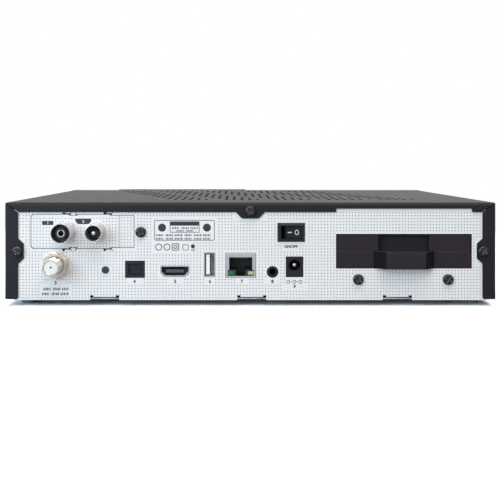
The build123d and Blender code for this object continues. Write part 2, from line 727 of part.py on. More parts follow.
# ---- Front ---------------------------------------------------------------------------------------
def front_bezel():
    outer = block(-HALF_W, HALF_W, JOINT, FRONT, BASE_Z, TOP + BEZEL_PROUD)
    outer = fillet(outer.edges().filter_by(Axis.Y).group_by(Axis.Z)[-1], SIDE_BEND)
    face = outer.faces().sort_by(Axis.Y)[-1]
    outer = fillet(face.edges(), BEZEL_ROUND)
    wall = BEZEL_WALL
    inner = block(-HALF_W + wall, HALF_W - wall, JOINT - wall, FRONT - wall, BASE_Z + wall, TOP - wall)
    lip_half = HALF_W - SHEET - FIT
    lip_top = TOP - SHEET - FIT
    lip_low = COVER_Z + SHEET * 2
    lip = block(-lip_half, lip_half, JOINT - BEZEL_LIP, JOINT + wall, lip_low, lip_top)
    lip = fillet(lip.edges().filter_by(Axis.Y).group_by(Axis.Z)[-1], BEND)
    lip_wall = BEZEL_LIP_WALL
    lip_cut = block(
        -lip_half + lip_wall, lip_half - lip_wall, JOINT - BEZEL_LIP * 2, JOINT + wall * 2,
        BASE_Z - wall, lip_top - lip_wall,
    )
    bezel = outer - inner + (lip - lip_cut)
    # A wall behind the flap, and the hinge bosses at its lower corners
    back = FRONT - FLAP_T - SLIP
    flap_left, flap_right = flap_ends()
    recess_wall = block(
        flap_left - SLIP - wall, flap_right + SLIP + wall, back - wall, FRONT - wall,
        BASE_Z + wall / 2, TOP - wall / 2,
    )
    recess = block(
        flap_left - SLIP, flap_right + SLIP, back, FRONT + wall, FLAP_Z - SLIP, TOP + wall,
    )
    bosses = [
        block(x0, x0 + FLAP_PIN_L * 2, back - wall, FRONT - wall, BASE_Z + wall / 2, FLAP_PIVOT_Z + wall * 2)
        for x0 in (flap_left - SLIP - FLAP_PIN_L * 2, flap_right + SLIP)
    ]
    bezel = bezel + recess_wall + bosses - recess
    pins = rod_x(
        FLAP_PIVOT_Y, FLAP_PIVOT_Z, FLAP_PIN_R + PIN_FIT,
        flap_left - FLAP_PIN_L - SLIP, flap_right + FLAP_PIN_L + SLIP,
    )
    slots = [
        centred(across(READER_X), READER_SLOT_W + SLIP, back - wall * 2, back + wall, *reader_slot_heights()),
        centred(across(READER_X), MODULE_SLOT_W, back - wall * 2, back + wall, *module_slot_heights()),
    ]
    window = block(
        across(WINDOW_LEFT) - FIT, across(WINDOW_RIGHT) + FIT, FRONT - WINDOW_T, FRONT + wall,
        above(WINDOW_LOW) - FIT, above(WINDOW_HIGH) + FIT,
    )
    sight = block(
        across(WINDOW_LEFT) + WINDOW_LEDGE, across(WINDOW_RIGHT) - WINDOW_LEDGE, FRONT - wall * 2, FRONT,
        above(WINDOW_LOW) + WINDOW_LEDGE, above(WINDOW_HIGH) - WINDOW_LEDGE,
    )
    button = rod_y(across(BUTTON_X), above(BUTTON_Z), BUTTON_R + FIT, FRONT - wall * 2, FRONT + wall)
    return bezel - pins - slots - window - sight - button


def flap_ends():
    return across(FLAP_LEFT), across(FLAP_RIGHT)


def reader_slot_heights():
    low = BOARD_TOP + (READER_H - READER_SLOT_H) / 2
    return low, low + READER_SLOT_H


def module_slot_heights():
    low = BOARD_TOP + MODULE_LIFT + (MODULE_H - MODULE_SLOT_H) / 2
    return low, low + MODULE_SLOT_H


def display_window():
    pane = block(
        across(WINDOW_LEFT), across(WINDOW_RIGHT), FRONT - WINDOW_T, FRONT,
        above(WINDOW_LOW), above(WINDOW_HIGH),
    )
    return chamfer(pane.faces().sort_by(Axis.Y)[-1].edges(), WINDOW_T / 5)


def front_flap():
    """A plate with a round lower edge, a rounded top edge and a pin at each lower corner."""
    left, right = flap_ends()
    plate = block(left, right, FRONT - FLAP_T, FRONT, FLAP_PIVOT_Z, TOP + FLAP_PROUD)
    plate = fillet(plate.edges().filter_by(Axis.X).group_by(Axis.Z)[-1].sort_by(Axis.Y)[-1:], FLAP_T / 2)
    edge = rod_x(FLAP_PIVOT_Y, FLAP_PIVOT_Z, FLAP_T / 2, left, right)
    pins = rod_x(FLAP_PIVOT_Y, FLAP_PIVOT_Z, FLAP_PIN_R, left - FLAP_PIN_L, right + FLAP_PIN_L)
    return plate + edge + pins


def standby_button():
    x, z = across(BUTTON_X), above(BUTTON_Z)
    inside = FRONT - BEZEL_WALL
    cap = rod_y(x, z, BUTTON_R, inside - SLIP, FRONT + BUTTON_PROUD)
    cap = fillet(cap.edges().filter_by(GeomType.CIRCLE).sort_by(Axis.Y)[-1], BUTTON_PROUD / 2)
    flange = rod_y(x, z, BUTTON_R + SLIP * 3, inside - SLIP * 3, inside - PIN_FIT)
    stem = rod_y(x, z, BUTTON_STEM_R, front_board_y() + BOARD_T + BUTTON_TRAVEL + SLIP, inside)
    return cap + flange + stem


def front_board_y():
    """The rear face of the upright board behind the display."""
    return JOINT + BOARD_T


def front_board():
    """An upright board on the main board, with the display and the standby switch's place on it."""
    low, high = BOARD_TOP, TOP - BEZEL_WALL * 2
    y = front_board_y()
    left, right = across(WINDOW_LEFT), HALF_W - BEZEL_WALL * 2
    board = block(left, right, y, y + BOARD_T, low, high)
    display = block(
        left + WINDOW_LEDGE, across(WINDOW_RIGHT) - WINDOW_LEDGE, y + BOARD_T, FRONT - BEZEL_WALL - SLIP,
        above(WINDOW_LOW) + WINDOW_LEDGE, above(WINDOW_HIGH) - WINDOW_LEDGE,
    )
    return board + display


# ---- Main board ----------------------------------------------------------------------------------
def main_board():
    left = -HALF_BASE + BOARD_SIDE_GAP
    rear = PANEL_IN + BOARD_REAR_GAP
    split = board_split()
    shape = outline([
        (left, rear),
        (split, rear),
        (split, BAY_IN + SLIP),
        (-left, BAY_IN + SLIP),
        (-left, JOINT + BOARD_T * 2),
        (across(WINDOW_LEFT) - BOARD_T, JOINT + BOARD_T * 2),
        (across(WINDOW_LEFT) - BOARD_T, FRONT - BOARD_FRONT_GAP),
        (left, FRONT - BOARD_FRONT_GAP),
    ])
    holes = [Pos(x, y) * Circle(SHANK_R + PIN_FIT) for x, y in standoff_places()]
    return level(shape - holes, BOARD_LOW, BOARD_TOP)


def board_standoffs():
    made = []
    for x, y in standoff_places():
        post = rod_z(x, y, STANDOFF_R, FLOOR_TOP, BOARD_LOW)
        made.append(post - rod_z(x, y, SHANK_R + PIN_FIT, FLOOR_TOP, BOARD_LOW))
    return Compound(children=made)


def board_screws():
    return Compound(children=[screw_z(x, y, BOARD_TOP) for x, y in standoff_places()])


def sink_place():
    return across(SINK_X), REAR + SINK_DEPTH


def heat_sink():
    x, y = sink_place()
    low = BOARD_TOP + PROCESSOR_T
    half = SINK_SIDE / 2
    sink = block(x - half, x + half, y - half, y + half, low, low + SINK_BASE)
    pitch = (SINK_SIDE - SINK_FIN_T) / (SINK_FINS - 1)
    fins = [
        centred(x + (i - (SINK_FINS - 1) / 2) * pitch, SINK_FIN_T, y - half, y + half,
                low + SINK_BASE, low + SINK_BASE + SINK_FIN_H)
        for i in range(SINK_FINS)
    ]
    return sink + fins


def board_chips():
    """The processor under the heat sink, and two rows of memory chips beside it."""
    x, y = sink_place()
    half = PROCESSOR_SIDE / 2
    chips = [block(x - half, x + half, y - half, y + half, BOARD_TOP, BOARD_TOP + PROCESSOR_T)]
    for row in (-1, 1):
        for column in (0, 1):
            left = x + SINK_SIDE / 2 + CHIP_W / 2 + column * CHIP_W * 1.4
            centre_y = y + row * CHIP_L * 0.75
            chips.append(block(left, left + CHIP_W, centre_y - CHIP_L / 2, centre_y + CHIP_L / 2,
                               BOARD_TOP, BOARD_TOP + CHIP_T))
    return Compound(children=chips)


def capacitors():
    """Upright capacitors behind the power jack, each with a slim waist near its foot."""
    made = []
    y = PANEL_IN + POWER_L + CAP_R * 4
    for i in range(3):
        x = across(POWER_X) - i * CAP_R * 3
        can = rod_z(x, y, CAP_R, BOARD_TOP, BOARD_TOP + CAP_H)
        waist = rod_z(x, y, CAP_R, BOARD_TOP + CAP_H * 0.1, BOARD_TOP + CAP_H * 0.16)
        made.append(can - (waist - rod_z(x, y, CAP_R * 0.92, BOARD_TOP, BOARD_TOP + CAP_H)))
    return Compound(children=made)


def board_connector():
    """A right-angle header that joins the main board's edge to the front board."""
    x0 = across((WINDOW_LEFT + WINDOW_RIGHT) / 2)
    y1 = front_board_y()
    return centred(x0, HEADER_W, y1 - HEADER_L, y1, BOARD_TOP, BOARD_TOP + HEADER_H)


def card_reader():
    x0 = across(READER_X)
    y1 = FRONT - FLAP_T - SLIP - BEZEL_WALL
    body = centred(x0, READER_W, y1 - READER_L, y1, BOARD_TOP, BOARD_TOP + READER_H)
    low, high = reader_slot_heights()
    return body - centred(x0, READER_SLOT_W, y1 - READER_L + BEZEL_WALL, y1 + BEZEL_WALL, low, high)


def module_slot():
    """A cage over the card reader, on two legs, open to the front and to the rear."""
    x0 = across(READER_X)
    y1 = FRONT - FLAP_T - SLIP - BEZEL_WALL
    y0 = y1 - MODULE_L
    low = BOARD_TOP + MODULE_LIFT
    cage = centred(x0, MODULE_W, y0, y1, low, low + MODULE_H)
    slot_low, slot_high = module_slot_heights()
    cage = cage - centred(x0, MODULE_SLOT_W, y0 + MODULE_LEG, y1 + MODULE_LEG, slot_low, slot_high)
    legs = [
        centred(x0 + side * (MODULE_W - MODULE_LEG) / 2, MODULE_LEG, y0, y1, BOARD_TOP, low)
        for side in (-1, 1)
    ]
    return cage + legs


# ---- Satellite input -----------------------------------------------------------------------------
def f_nut_face():
    """The nut's outer face, where the free stretch of the thread begins."""
    return PANEL_OUT - F_WASHER_T - F_NUT_T


def f_connector_body():
    """A threaded barrel with a collar behind the panel."""
    x, tip = from_left(F_X), REAR - F_REACH
    thread = rod_y(x, F_Z, F_BARREL_R, tip, f_nut_face())
    thread = chamfer(thread.edges().filter_by(GeomType.CIRCLE).sort_by(Axis.Y)[0], F_TIP_BEVEL)
    root = rod_y(x, F_Z, F_ROOT_R, f_nut_face(), PANEL_IN)
    collar = rod_y(x, F_Z, F_COLLAR_R, PANEL_IN, PANEL_IN + F_COLLAR_T)
    return thread + root + collar - rod_y(x, F_Z, F_BORE_R, tip, PANEL_IN + F_COLLAR_T)


def f_connector_washer():
    return tube_y(from_left(F_X), F_Z, F_WASHER_R, F_BARREL_R + PIN_FIT, PANEL_OUT - F_WASHER_T, PANEL_OUT)


def f_connector_nut():
    seat = PANEL_OUT - F_WASHER_T
    hexagon = Pos(from_left(F_X), F_Z) * RegularPolygon(F_NUT_AF / 2, 6, major_radius=False, rotation=30)
    bore = rod_y(from_left(F_X), F_Z, F_ROOT_R + PIN_FIT, f_nut_face(), seat)
    return upright(hexagon, f_nut_face(), seat) - bore


def f_connector_insulator():
    x, tip = from_left(F_X), REAR - F_REACH
    core = rod_y(x, F_Z, F_BORE_R - PIN_FIT, tip + 0.4, PANEL_IN + F_COLLAR_T)
    return core - rod_y(x, F_Z, F_CONTACT_R + PIN_FIT, tip + 1.2, PANEL_IN + F_COLLAR_T) - rod_y(
        x, F_Z, F_CONTACT_R * 0.6, tip, tip + 2.0)


def f_connector_contact():
    x, tip = from_left(F_X), REAR - F_REACH
    return tube_y(x, F_Z, F_CONTACT_R, F_CONTACT_BORE, tip + 1.3, PANEL_IN + F_COLLAR_T)


def satellite_tuner_can():
    """A plated can on the board, behind the satellite input."""
    y0 = PANEL_IN + F_COLLAR_T
    can = centred(from_left(F_X), SAT_CAN_W, y0, y0 + SAT_CAN_L, BOARD_TOP, BOARD_TOP + SAT_CAN_H)
    lid = can.faces().sort_by(Axis.Z)[-1].edges()
    return chamfer(lid, 0.4)


# ---- Plug-in tuner -------------------------------------------------------------------------------
def coax_places():
    return ((from_left(ANTENNA_X), ANTENNA_R), (from_left(LOOP_X), LOOP_R))


def tuner_plate():
    z = above(COAX_Z)
    plate = upright(tuner_outline(0, TAB_GAP), PANEL_OUT, PANEL_IN)
    holes = [rod_y(x, z, radius + FIT, PANEL_OUT, PANEL_IN) for x, radius in coax_places()]
    score_x = from_left(TUNER_X) + TUNER_W / 2 - TUNER_SCORE_IN
    score = centred(score_x, TUNER_SCORE, PANEL_OUT - SHEET, PANEL_OUT + SHEET * 0.4, PANEL_Z, TOP)
    return plate - holes - score


def tuner_bracket():
    """A plate behind the panel, folded into a shelf that carries the tuner can."""
    z = above(COAX_Z)
    left, right = from_left(BRACKET_LEFT), from_left(BRACKET_RIGHT)
    low, high = above(BRACKET_LOW), above(TUNER_Z) + TUNER_H / 2 - TUNER_GAP
    plate = block(left, right, PANEL_IN, PANEL_IN + SHEET, low, high)
    right = from_left(TUNER_X) + TUNER_W / 2
    shelf = block(left, right, PANEL_IN, PANEL_IN + BRACKET_DEPTH, low, low + SHEET)
    holes = [rod_y(x, z, radius + FIT, PANEL_IN, PANEL_IN + SHEET) for x, radius in coax_places()]
    x, z = from_left(TUNER_SCREW_X), above(TUNER_SCREW_Z)
    thread = rod_y(x, z, SHANK_R + PIN_FIT, PANEL_IN, PANEL_IN + SHEET)
    return plate + shelf - holes - thread


def tuner_can():
    low = above(BRACKET_LOW) + SHEET
    y0 = PANEL_IN + SHEET
    middle = (from_left(ANTENNA_X) + from_left(LOOP_X)) / 2
    can = centred(middle, TUNER_CAN_W, y0, y0 + TUNER_CAN_L, low, low + TUNER_CAN_H)
    return chamfer(can.faces().sort_by(Axis.Z)[-1].edges(), 0.4)


def tuner_slot():
    """The upright socket on the main board that the plug-in tuner's shelf stands on."""
    x = from_left(F_X) + SAT_CAN_W / 2 + CARD_SLOT_W / 2 + FIT * 10
    y1 = PANEL_IN + BRACKET_DEPTH - CARD_SLOT_T
    return centred(x, CARD_SLOT_W, y1 - CARD_SLOT_T, y1, BOARD_TOP, above(BRACKET_LOW))


def coax_shell(x, radius, wall, reach, flange):
    z, tip = above(COAX_Z), REAR - reach
    shell = rod_y(x, z, radius, tip, PANEL_IN + SHEET)
    shell = shell + rod_y(x, z, flange, PANEL_OUT - COAX_FLANGE_T, PANEL_OUT)
    return shell - rod_y(x, z, radius - wall, tip, PANEL_IN + SHEET)


def antenna_in_shell():
    return coax_shell(from_left(ANTENNA_X), ANTENNA_R, ANTENNA_WALL, ANTENNA_REACH, ANTENNA_FLANGE_R)


def antenna_in_insulator():
    """A dark lining of the shell, hollowed to a cup in front of the contact ring."""
    x, z, tip = from_left(ANTENNA_X), above(COAX_Z), REAR - ANTENNA_REACH
    core = rod_y(x, z, ANTENNA_R - ANTENNA_WALL - PIN_FIT, tip + ANTENNA_WALL, PANEL_IN + SHEET)
    cup = rod_y(x, z, ANTENNA_R - ANTENNA_WALL * 3, tip, tip + COAX_CUP_DEPTH)
    hub = tube_y(x, z, COAX_CONTACT_R * 1.5, COAX_CONTACT_R, tip + COAX_CUP_DEPTH / 2, tip + COAX_CUP_DEPTH)
    return core - cup + hub - rod_y(x, z, COAX_CONTACT_R + PIN_FIT, tip, PANEL_IN + SHEET)


def antenna_in_contact():
    """A split ring that stands in the middle of the cup."""
    face = REAR - ANTENNA_REACH + COAX_CUP_DEPTH * 0.4
    x, z = from_left(ANTENNA_X), above(COAX_Z)
    ring = tube_y(x, z, COAX_CONTACT_R, COAX_CONTACT_BORE, face, PANEL_IN + SHEET)
    half = COAX_SLOT_W / 2
    slot = block(x - half, x + half, face, face + COAX_SLOT_L, z, z + COAX_CONTACT_R * 2)
    return ring - slot


def loop_out_shell():
    return coax_shell(from_left(LOOP_X), LOOP_R, LOOP_WALL, LOOP_REACH, LOOP_FLANGE_R)


def loop_out_insulator():
    """A disc at the root of the hollow shell."""
    x, z = from_left(LOOP_X), above(COAX_Z)
    core = rod_y(x, z, LOOP_R - LOOP_WALL - PIN_FIT, PANEL_OUT - SHEET, PANEL_IN + SHEET)
    return core - rod_y(x, z, COAX_PIN_R + PIN_FIT, PANEL_OUT - SHEET, PANEL_IN + SHEET)


def loop_out_pin():
    x, z, tip = from_left(LOOP_X), above(COAX_Z), REAR - LOOP_REACH + 1.2
    pin = rod_y(x, z, COAX_PIN_R, tip, PANEL_IN + SHEET)
    return fillet(pin.edges().filter_by(GeomType.CIRCLE).sort_by(Axis.Y)[0], COAX_PIN_R * 0.8)


def hole_plug():
    x, z = across(PLUG_X), above(PLUG_Z)
    head = rod_y(x, z, PLUG_R, PANEL_OUT - PLUG_T, PANEL_OUT)
    head = fillet(head.edges().filter_by(GeomType.CIRCLE).sort_by(Axis.Y)[0], PLUG_T * 0.6)
    return head + rod_y(x, z, PLUG_HOLE_R - PIN_FIT, PANEL_OUT, PANEL_IN + PLUG_T)


# ---- Sockets on the board ------------------------------------------------------------------------
def optical_hinge():
    """The Y and Z of the shutter's pivot, near the cavity's upper edge."""
    return PANEL_OUT + 1.0 + SHUTTER_T / 2, optical_door()[1] - SHUTTER_T / 2 - PIN_FIT


def optical_door():
    """The lower and upper edge of the optical socket's mouth."""
    low = BOARD_TOP + (OPTICAL_H - OPTICAL_DOOR_H) / 2
    return low, low + OPTICAL_DOOR_H


def optical_housing():
    x = across(OPTICAL_X)
    low, high = optical_door()
    body = centred(x, OPTICAL_W, PANEL_OUT, PANEL_OUT + OPTICAL_L, BOARD_TOP, BOARD_TOP + OPTICAL_H)
    cavity = centred(x, OPTICAL_DOOR_W, PANEL_OUT, PANEL_OUT + OPTICAL_CAVITY, low, high)
    y, z = optical_hinge()
    reach = OPTICAL_DOOR_W / 2 + SHUTTER_PIN_R * 2
    return body - cavity - rod_x(y, z, SHUTTER_PIN_R + PIN_FIT, x - reach, x + reach)


def optical_shutter():
    """A flap with a round upper edge, a groove across it and a pin at each upper corner."""
    x = across(OPTICAL_X)
    low = optical_door()[0]
    y, z = optical_hinge()
    half = OPTICAL_DOOR_W / 2 - FIT
    flap = block(x - half, x + half, y - SHUTTER_T / 2, y + SHUTTER_T / 2, low + FIT, z)
    groove = rod_x(y - SHUTTER_T / 2, (low + z) / 2, SHUTTER_T / 4, x - half, x + half)
    reach = OPTICAL_DOOR_W / 2 + SHUTTER_PIN_R * 1.6
    return flap + rod_x(y, z, SHUTTER_T / 2, x - half, x + half) - groove + rod_x(
        y, z, SHUTTER_PIN_R, x - reach, x + reach)


def video_socket_shell():
    """A folded tube with solder feet down to the board."""
    y0, y1 = PANEL_OUT - FIT, PANEL_OUT + VIDEO_L
    tube = upright(video_outline(0), y0, y1) - upright(video_outline(-VIDEO_WALL), y0, y1)
    x = across(VIDEO_X)
    inset = VIDEO_W / 2 - VIDEO_CHAMFER - VIDEO_WALL
    legs = [
        centred(x + side * inset, VIDEO_WALL * 2, y, y + VIDEO_WALL * 3, BOARD_TOP, BOARD_TOP + VIDEO_LIFT)
        for side in (-1, 1) for y in (PANEL_IN + BOARD_REAR_GAP, y1 - VIDEO_WALL * 4)
    ]
    return tube + legs


def video_socket_tongue():
    x, y1 = across(VIDEO_X), PANEL_OUT + VIDEO_L
    middle = BOARD_TOP + VIDEO_LIFT + VIDEO_H / 2
    tongue = centred(
        x, VIDEO_TONGUE_W, PANEL_OUT + 1.2, y1 - 2.0,
        middle - VIDEO_TONGUE_T / 2, middle + VIDEO_TONGUE_T / 2,
    )
    return tongue + upright(video_outline(-VIDEO_WALL), y1 - 2.0, y1)


def usb_z():
    return BOARD_TOP + USB_LIFT, BOARD_TOP + USB_LIFT + USB_H


def usb_shell():
    x = across(USB_X)
    low, high = usb_z()
    y0, y1 = PANEL_OUT - FIT, PANEL_OUT + USB_L
    shell = centred(x, USB_W, y0, y1, low, high)
    shell = shell - centred(x, USB_W - USB_WALL * 2, y0, y1, low + USB_WALL, high - USB_WALL)
    legs = [
        centred(x, USB_WALL * 4, y, y + USB_WALL * 3, BOARD_TOP, low)
        for y in (PANEL_IN + BOARD_REAR_GAP, y1 - USB_WALL * 4)
    ]
    return shell + legs


def usb_tongue_box():
    """The tongue's left and right side, and its lower and upper edge."""
    left = across(USB_X) - USB_W / 2 + USB_WALL + 0.6
    low, high = usb_z()
    middle = (low + high) / 2
    return left, left + USB_TONGUE_W, middle - USB_TONGUE_H / 2, middle + USB_TONGUE_H / 2


def usb_tongue():
    left, right, low, high = usb_tongue_box()
    x, y1 = across(USB_X), PANEL_OUT + USB_L
    z0, z1 = usb_z()
    root = centred(x, USB_W - USB_WALL * 2, y1 - 3.0, y1, z0 + USB_WALL, z1 - USB_WALL)
    return block(left, right, PANEL_OUT + 0.8, y1 - 3.0, low, high) + root


def usb_contacts():
    right = usb_tongue_box()[1]
    low, high = usb_z()
    middle = (low + high) / 2
    return Compound(children=[
        block(right, right + USB_CONTACT_T, PANEL_OUT + 1.4, PANEL_OUT + 9.0,
              middle + (i - 1.5) * USB_CONTACT_PITCH - USB_CONTACT_H / 2,
              middle + (i - 1.5) * USB_CONTACT_PITCH + USB_CONTACT_H / 2)
        for i in range(4)
    ])


def lan_levels():
    """Z of the network shell's bottom and top, and of the port's lower and upper edge."""
    low = BOARD_TOP + LAN_LIFT
    high = low + LAN_H
    return low, high, high - LAN_PORT_DROP - LAN_PORT_H, high - LAN_PORT_DROP


def network_shell():
    x = across(LAN_X)
    low, high, port_low, port_high = lan_levels()
    y0, y1 = PANEL_OUT - FIT, PANEL_OUT + LAN_L
    shell = centred(x, LAN_W, y0, y1, low, high)
    shell = shell - centred(x, LAN_W - LAN_WALL * 2, y0 + LAN_WALL, y1, low + LAN_WALL, high - LAN_WALL)
    mouth = centred(x, LAN_PORT_W + SLIP, y0, y0 + LAN_WALL, port_low, port_high + SLIP / 2)
    lights = centred(
        x, (LAN_LIGHT_OUT + LAN_LIGHT_W / 2) * 2 + SLIP, y0, y0 + LAN_WALL, port_low - LAN_KEY_H, port_low,
    )
    legs = [
        centred(x + side * (LAN_W / 2 - 0.6), 1.2, y, y + 1.2, BOARD_TOP, low)
        for side in (-1, 1) for y in (PANEL_IN + BOARD_REAR_GAP, y1 - 2.4)
    ]
    return shell - mouth - lights + legs


def network_light_boxes(grow):
    x = across(LAN_X)
    port_low = lan_levels()[2]
    y0 = PANEL_OUT - FIT + LAN_WALL
    bottom = port_low - LAN_KEY_H + (LAN_KEY_H - LAN_LIGHT_H) / 2
    return [
        centred(x + side * LAN_LIGHT_OUT, LAN_LIGHT_W + grow * 2, y0, y0 + LAN_LIGHT_DEPTH + grow,
                bottom - grow, bottom + LAN_LIGHT_H + grow)
        for side in (-1, 1)
    ]


def network_insert():
    """The moulded block in the shell, with the plug's cavity, its key slot and two light recesses."""
    x = across(LAN_X)
    low, high, port_low, port_high = lan_levels()
    y0, y1 = PANEL_OUT - FIT + LAN_WALL, PANEL_OUT + LAN_L
    body = centred(x, LAN_W - LAN_WALL * 2, y0, y1, low + LAN_WALL, high - LAN_WALL)
    port = centred(x, LAN_PORT_W, y0, y0 + LAN_PORT_DEPTH, port_low, port_high)
    key = centred(x, LAN_KEY_W, y0, y0 + LAN_PORT_DEPTH, port_low - LAN_KEY_H, port_low)
    return body - port - key - network_light_boxes(0)


def network_contacts():
    """Eight sprung wires under the port's roof."""
    x = across(LAN_X)
    roof = lan_levels()[3]
    y0 = PANEL_OUT - FIT + LAN_WALL
    return Compound(children=[
        centred(x + (i - (LAN_CONTACTS - 1) / 2) * LAN_CONTACT_PITCH, LAN_CONTACT_SIDE,
                y0 + 1.5, y0 + LAN_PORT_DEPTH, roof - LAN_CONTACT_SIDE, roof)
        for i in range(LAN_CONTACTS)
    ])


def network_lights():
    return Compound(children=network_light_boxes(0))


def remote_jack():
    """A round nose in the panel, on a block that stands on the board."""
    x, y1 = across(REMOTE_X), PANEL_IN + REMOTE_BODY_L
    nose = rod_y(x, REMOTE_Z, REMOTE_NOSE_R, PANEL_OUT, PANEL_IN + FIT)
    body = centred(x, REMOTE_BODY_W, PANEL_IN + FIT, y1, BOARD_TOP, REMOTE_Z + REMOTE_RISE)
    return nose + body - rod_y(x, REMOTE_Z, REMOTE_BORE_R, PANEL_OUT, PANEL_OUT + REMOTE_BORE_L)


def power_z():
    """Z of the power jack's bottom, and of its bore."""
    return BOARD_TOP + POWER_LIFT, BOARD_TOP + POWER_LIFT + POWER_H - POWER_W / 2


def power_jack_housing():
    x = across(POWER_X)
    low, bore_z = power_z()
    body = centred(x, POWER_W, PANEL_OUT, PANEL_OUT + POWER_L, low, low + POWER_H)
    feet_of_jack = centred(x, POWER_W / 2, PANEL_IN + BOARD_REAR_GAP, PANEL_OUT + POWER_L, BOARD_TOP, low)
    return body + feet_of_jack - rod_y(x, bore_z, POWER_BORE_R, PANEL_OUT, PANEL_OUT + POWER_BORE_L)


def power_jack_pin():
    x, z = across(POWER_X), power_z()[1]
    pin = rod_y(x, z, POWER_PIN_R, PANEL_OUT + POWER_PIN_IN, PANEL_OUT + POWER_BORE_L)
    return fillet(pin.edges().filter_by(GeomType.CIRCLE).sort_by(Axis.Y)[0], POWER_PIN_R * 0.7)


# ---- Rocker switch -------------------------------------------------------------------------------
def rocker_pivot():
    return across(SWITCH_X), PANEL_OUT + ROCKER_PIVOT_IN


def switch_frame():
    """A bevelled frame on the panel, with its body behind and the rocker's pivot holes."""
    x, z = across(SWITCH_X), above(SWITCH_Z)
    proud = PANEL_OUT - SWITCH_PROUD
    frame = block(x - SWITCH_W / 2, x + SWITCH_W / 2, proud, PANEL_OUT, z - SWITCH_H / 2, z + SWITCH_H / 2)
    frame = chamfer(frame.faces().sort_by(Axis.Y)[0].edges(), SWITCH_BEVEL)
    body_w, body_h = SWITCH_W - SWITCH_BODY_IN * 2, SWITCH_H - SWITCH_BODY_IN * 2
    body = centred(x, body_w, PANEL_OUT, PANEL_OUT + SWITCH_BODY_L, z - body_h / 2, z + body_h / 2)
    mouth = centred(
        x, SWITCH_MOUTH_W, proud, PANEL_OUT + SWITCH_MOUTH_DEPTH,
        z - SWITCH_MOUTH_H / 2, z + SWITCH_MOUTH_H / 2,
    )
    pivot_x, pivot_y = rocker_pivot()
    reach = SWITCH_MOUTH_H / 2 + ROCKER_PIN_L * 0.5
    pins = rod_z(pivot_x, pivot_y, ROCKER_PIN_R + PIN_FIT, z - reach, z + reach)
    return frame + body - mouth - pins


def switch_rocker():
    """A rocker with a hollow face, at rest with its right end pressed in."""
    pivot_x, pivot_y = rocker_pivot()
    half, back = ROCKER_W / 2, ROCKER_BACK_W / 2
    tall = SWITCH_MOUTH_H / 2 - FIT
    rim = -ROCKER_RISE - ROCKER_DISH
    left, middle, right = (-half, rim), (0, -ROCKER_RISE), (half, rim)
    sides = Polyline(right, (half, 0), (back, ROCKER_BACK), (-back, ROCKER_BACK), (-half, 0), left)
    face = make_face(ThreePointArc(left, middle, right) + sides)
    body = extrude(Pos(0, 0, -tall) * face, amount=tall * 2)
    reach = SWITCH_MOUTH_H / 2 + ROCKER_PIN_L * 0.5 - PIN_FIT
    body = body + rod_z(0, 0, ROCKER_PIN_R, -reach, reach)
    return Pos(pivot_x, pivot_y, above(SWITCH_Z)) * Rot(0, 0, ROCKER_TILT) * body


# ---- Drive bay and tray --------------------------------------------------------------------------
def drive_bay():
    """A cage open at the rear and above, with a screwed flange at the panel and a foot at its inner end."""
    left, right = TRAY_LEFT - SHEET, TRAY_RIGHT + SHEET
    low, high = TRAY_LOW - SHEET, TRAY_TOP + SHEET
    cage = block(left, right, PANEL_IN, BAY_IN, low, high)
    cage = cage - block(TRAY_LEFT, TRAY_RIGHT, PANEL_IN, BAY_IN, TRAY_LOW, TRAY_TOP)
    cage = cage - block(TRAY_LEFT + BAY_LIP, TRAY_RIGHT - BAY_LIP, PANEL_IN, BAY_IN, TRAY_TOP, high)
    flange = block(left, right, PANEL_IN, PANEL_IN + SHEET, above(BAY_FLANGE_LOW), low)
    leg = block(left, right, BAY_IN - SHEET, BAY_IN, FLOOR_TOP, low)
    foot = block(left, right, BAY_IN - BAY_LIP * 1.5, BAY_IN, FLOOR_TOP, FLOOR_TOP + SHEET)
    screws = [
        rod_y(from_right(x), above(BAY_SCREW_Z), SHANK_R + PIN_FIT, PANEL_IN, PANEL_IN + SHEET)
        for x in BAY_SCREW_XS
    ]
    return cage + flange + leg + foot - screws


def tray_front():
    """The tray's moulded face: a finger pocket above and a faceted pull handle below."""
    x = from_right(TRAY_X)
    left, right = TRAY_LEFT + TRAY_GAP, TRAY_RIGHT - TRAY_GAP
    low, high = TRAY_LOW + SLIP, TRAY_TOP - TRAY_GAP
    y0 = PANEL_OUT + TRAY_RECESS
    y1 = y0 + TRAY_FRONT_L
    face = block(left, right, y0, y1, low, high)
    step = block(left, right, y0 - TRAY_STEP, y0, low, low + HANDLE_H)
    step = chamfer(step.edges().filter_by(Axis.X).group_by(Axis.Y)[0].sort_by(Axis.Z)[-1:], TRAY_STEP * 0.8)
    pocket = centred(x, POCKET_W, y0 - TRAY_STEP, y0 + POCKET_DEPTH, high - POCKET_H + FIT, high)
    base, front = HANDLE_W / 2, HANDLE_FRONT_W / 2
    profile = outline([
        (x - base, y0), (x - front, y0 - HANDLE_REACH), (x + front, y0 - HANDLE_REACH), (x + base, y0),
    ])
    handle = level(profile, low, low + HANDLE_H)
    grip = handle.faces().sort_by(Axis.Y)[0].edges()
    handle = fillet(grip, 0.5)
    return face + step - pocket + handle


def sled_box():
    """The sled's sides, its floor's underside and its length along Y."""
    y0 = PANEL_OUT + TRAY_RECESS + TRAY_FRONT_L
    return TRAY_LEFT + SLIP, TRAY_RIGHT - SLIP, TRAY_LOW + SLIP, y0, y0 + SLED_L


def drive_box():
    """The hard drive's corner values: x0, x1, y0, y1, z0, z1."""
    _, _, low, y0, _ = sled_box()
    x = from_right(TRAY_X)
    y = y0 + DRIVE_REAR_GAP
    z = low + SLED_FLOOR
    return x - DRIVE_W / 2, x + DRIVE_W / 2, y, y + DRIVE_L, z, z + DRIVE_H


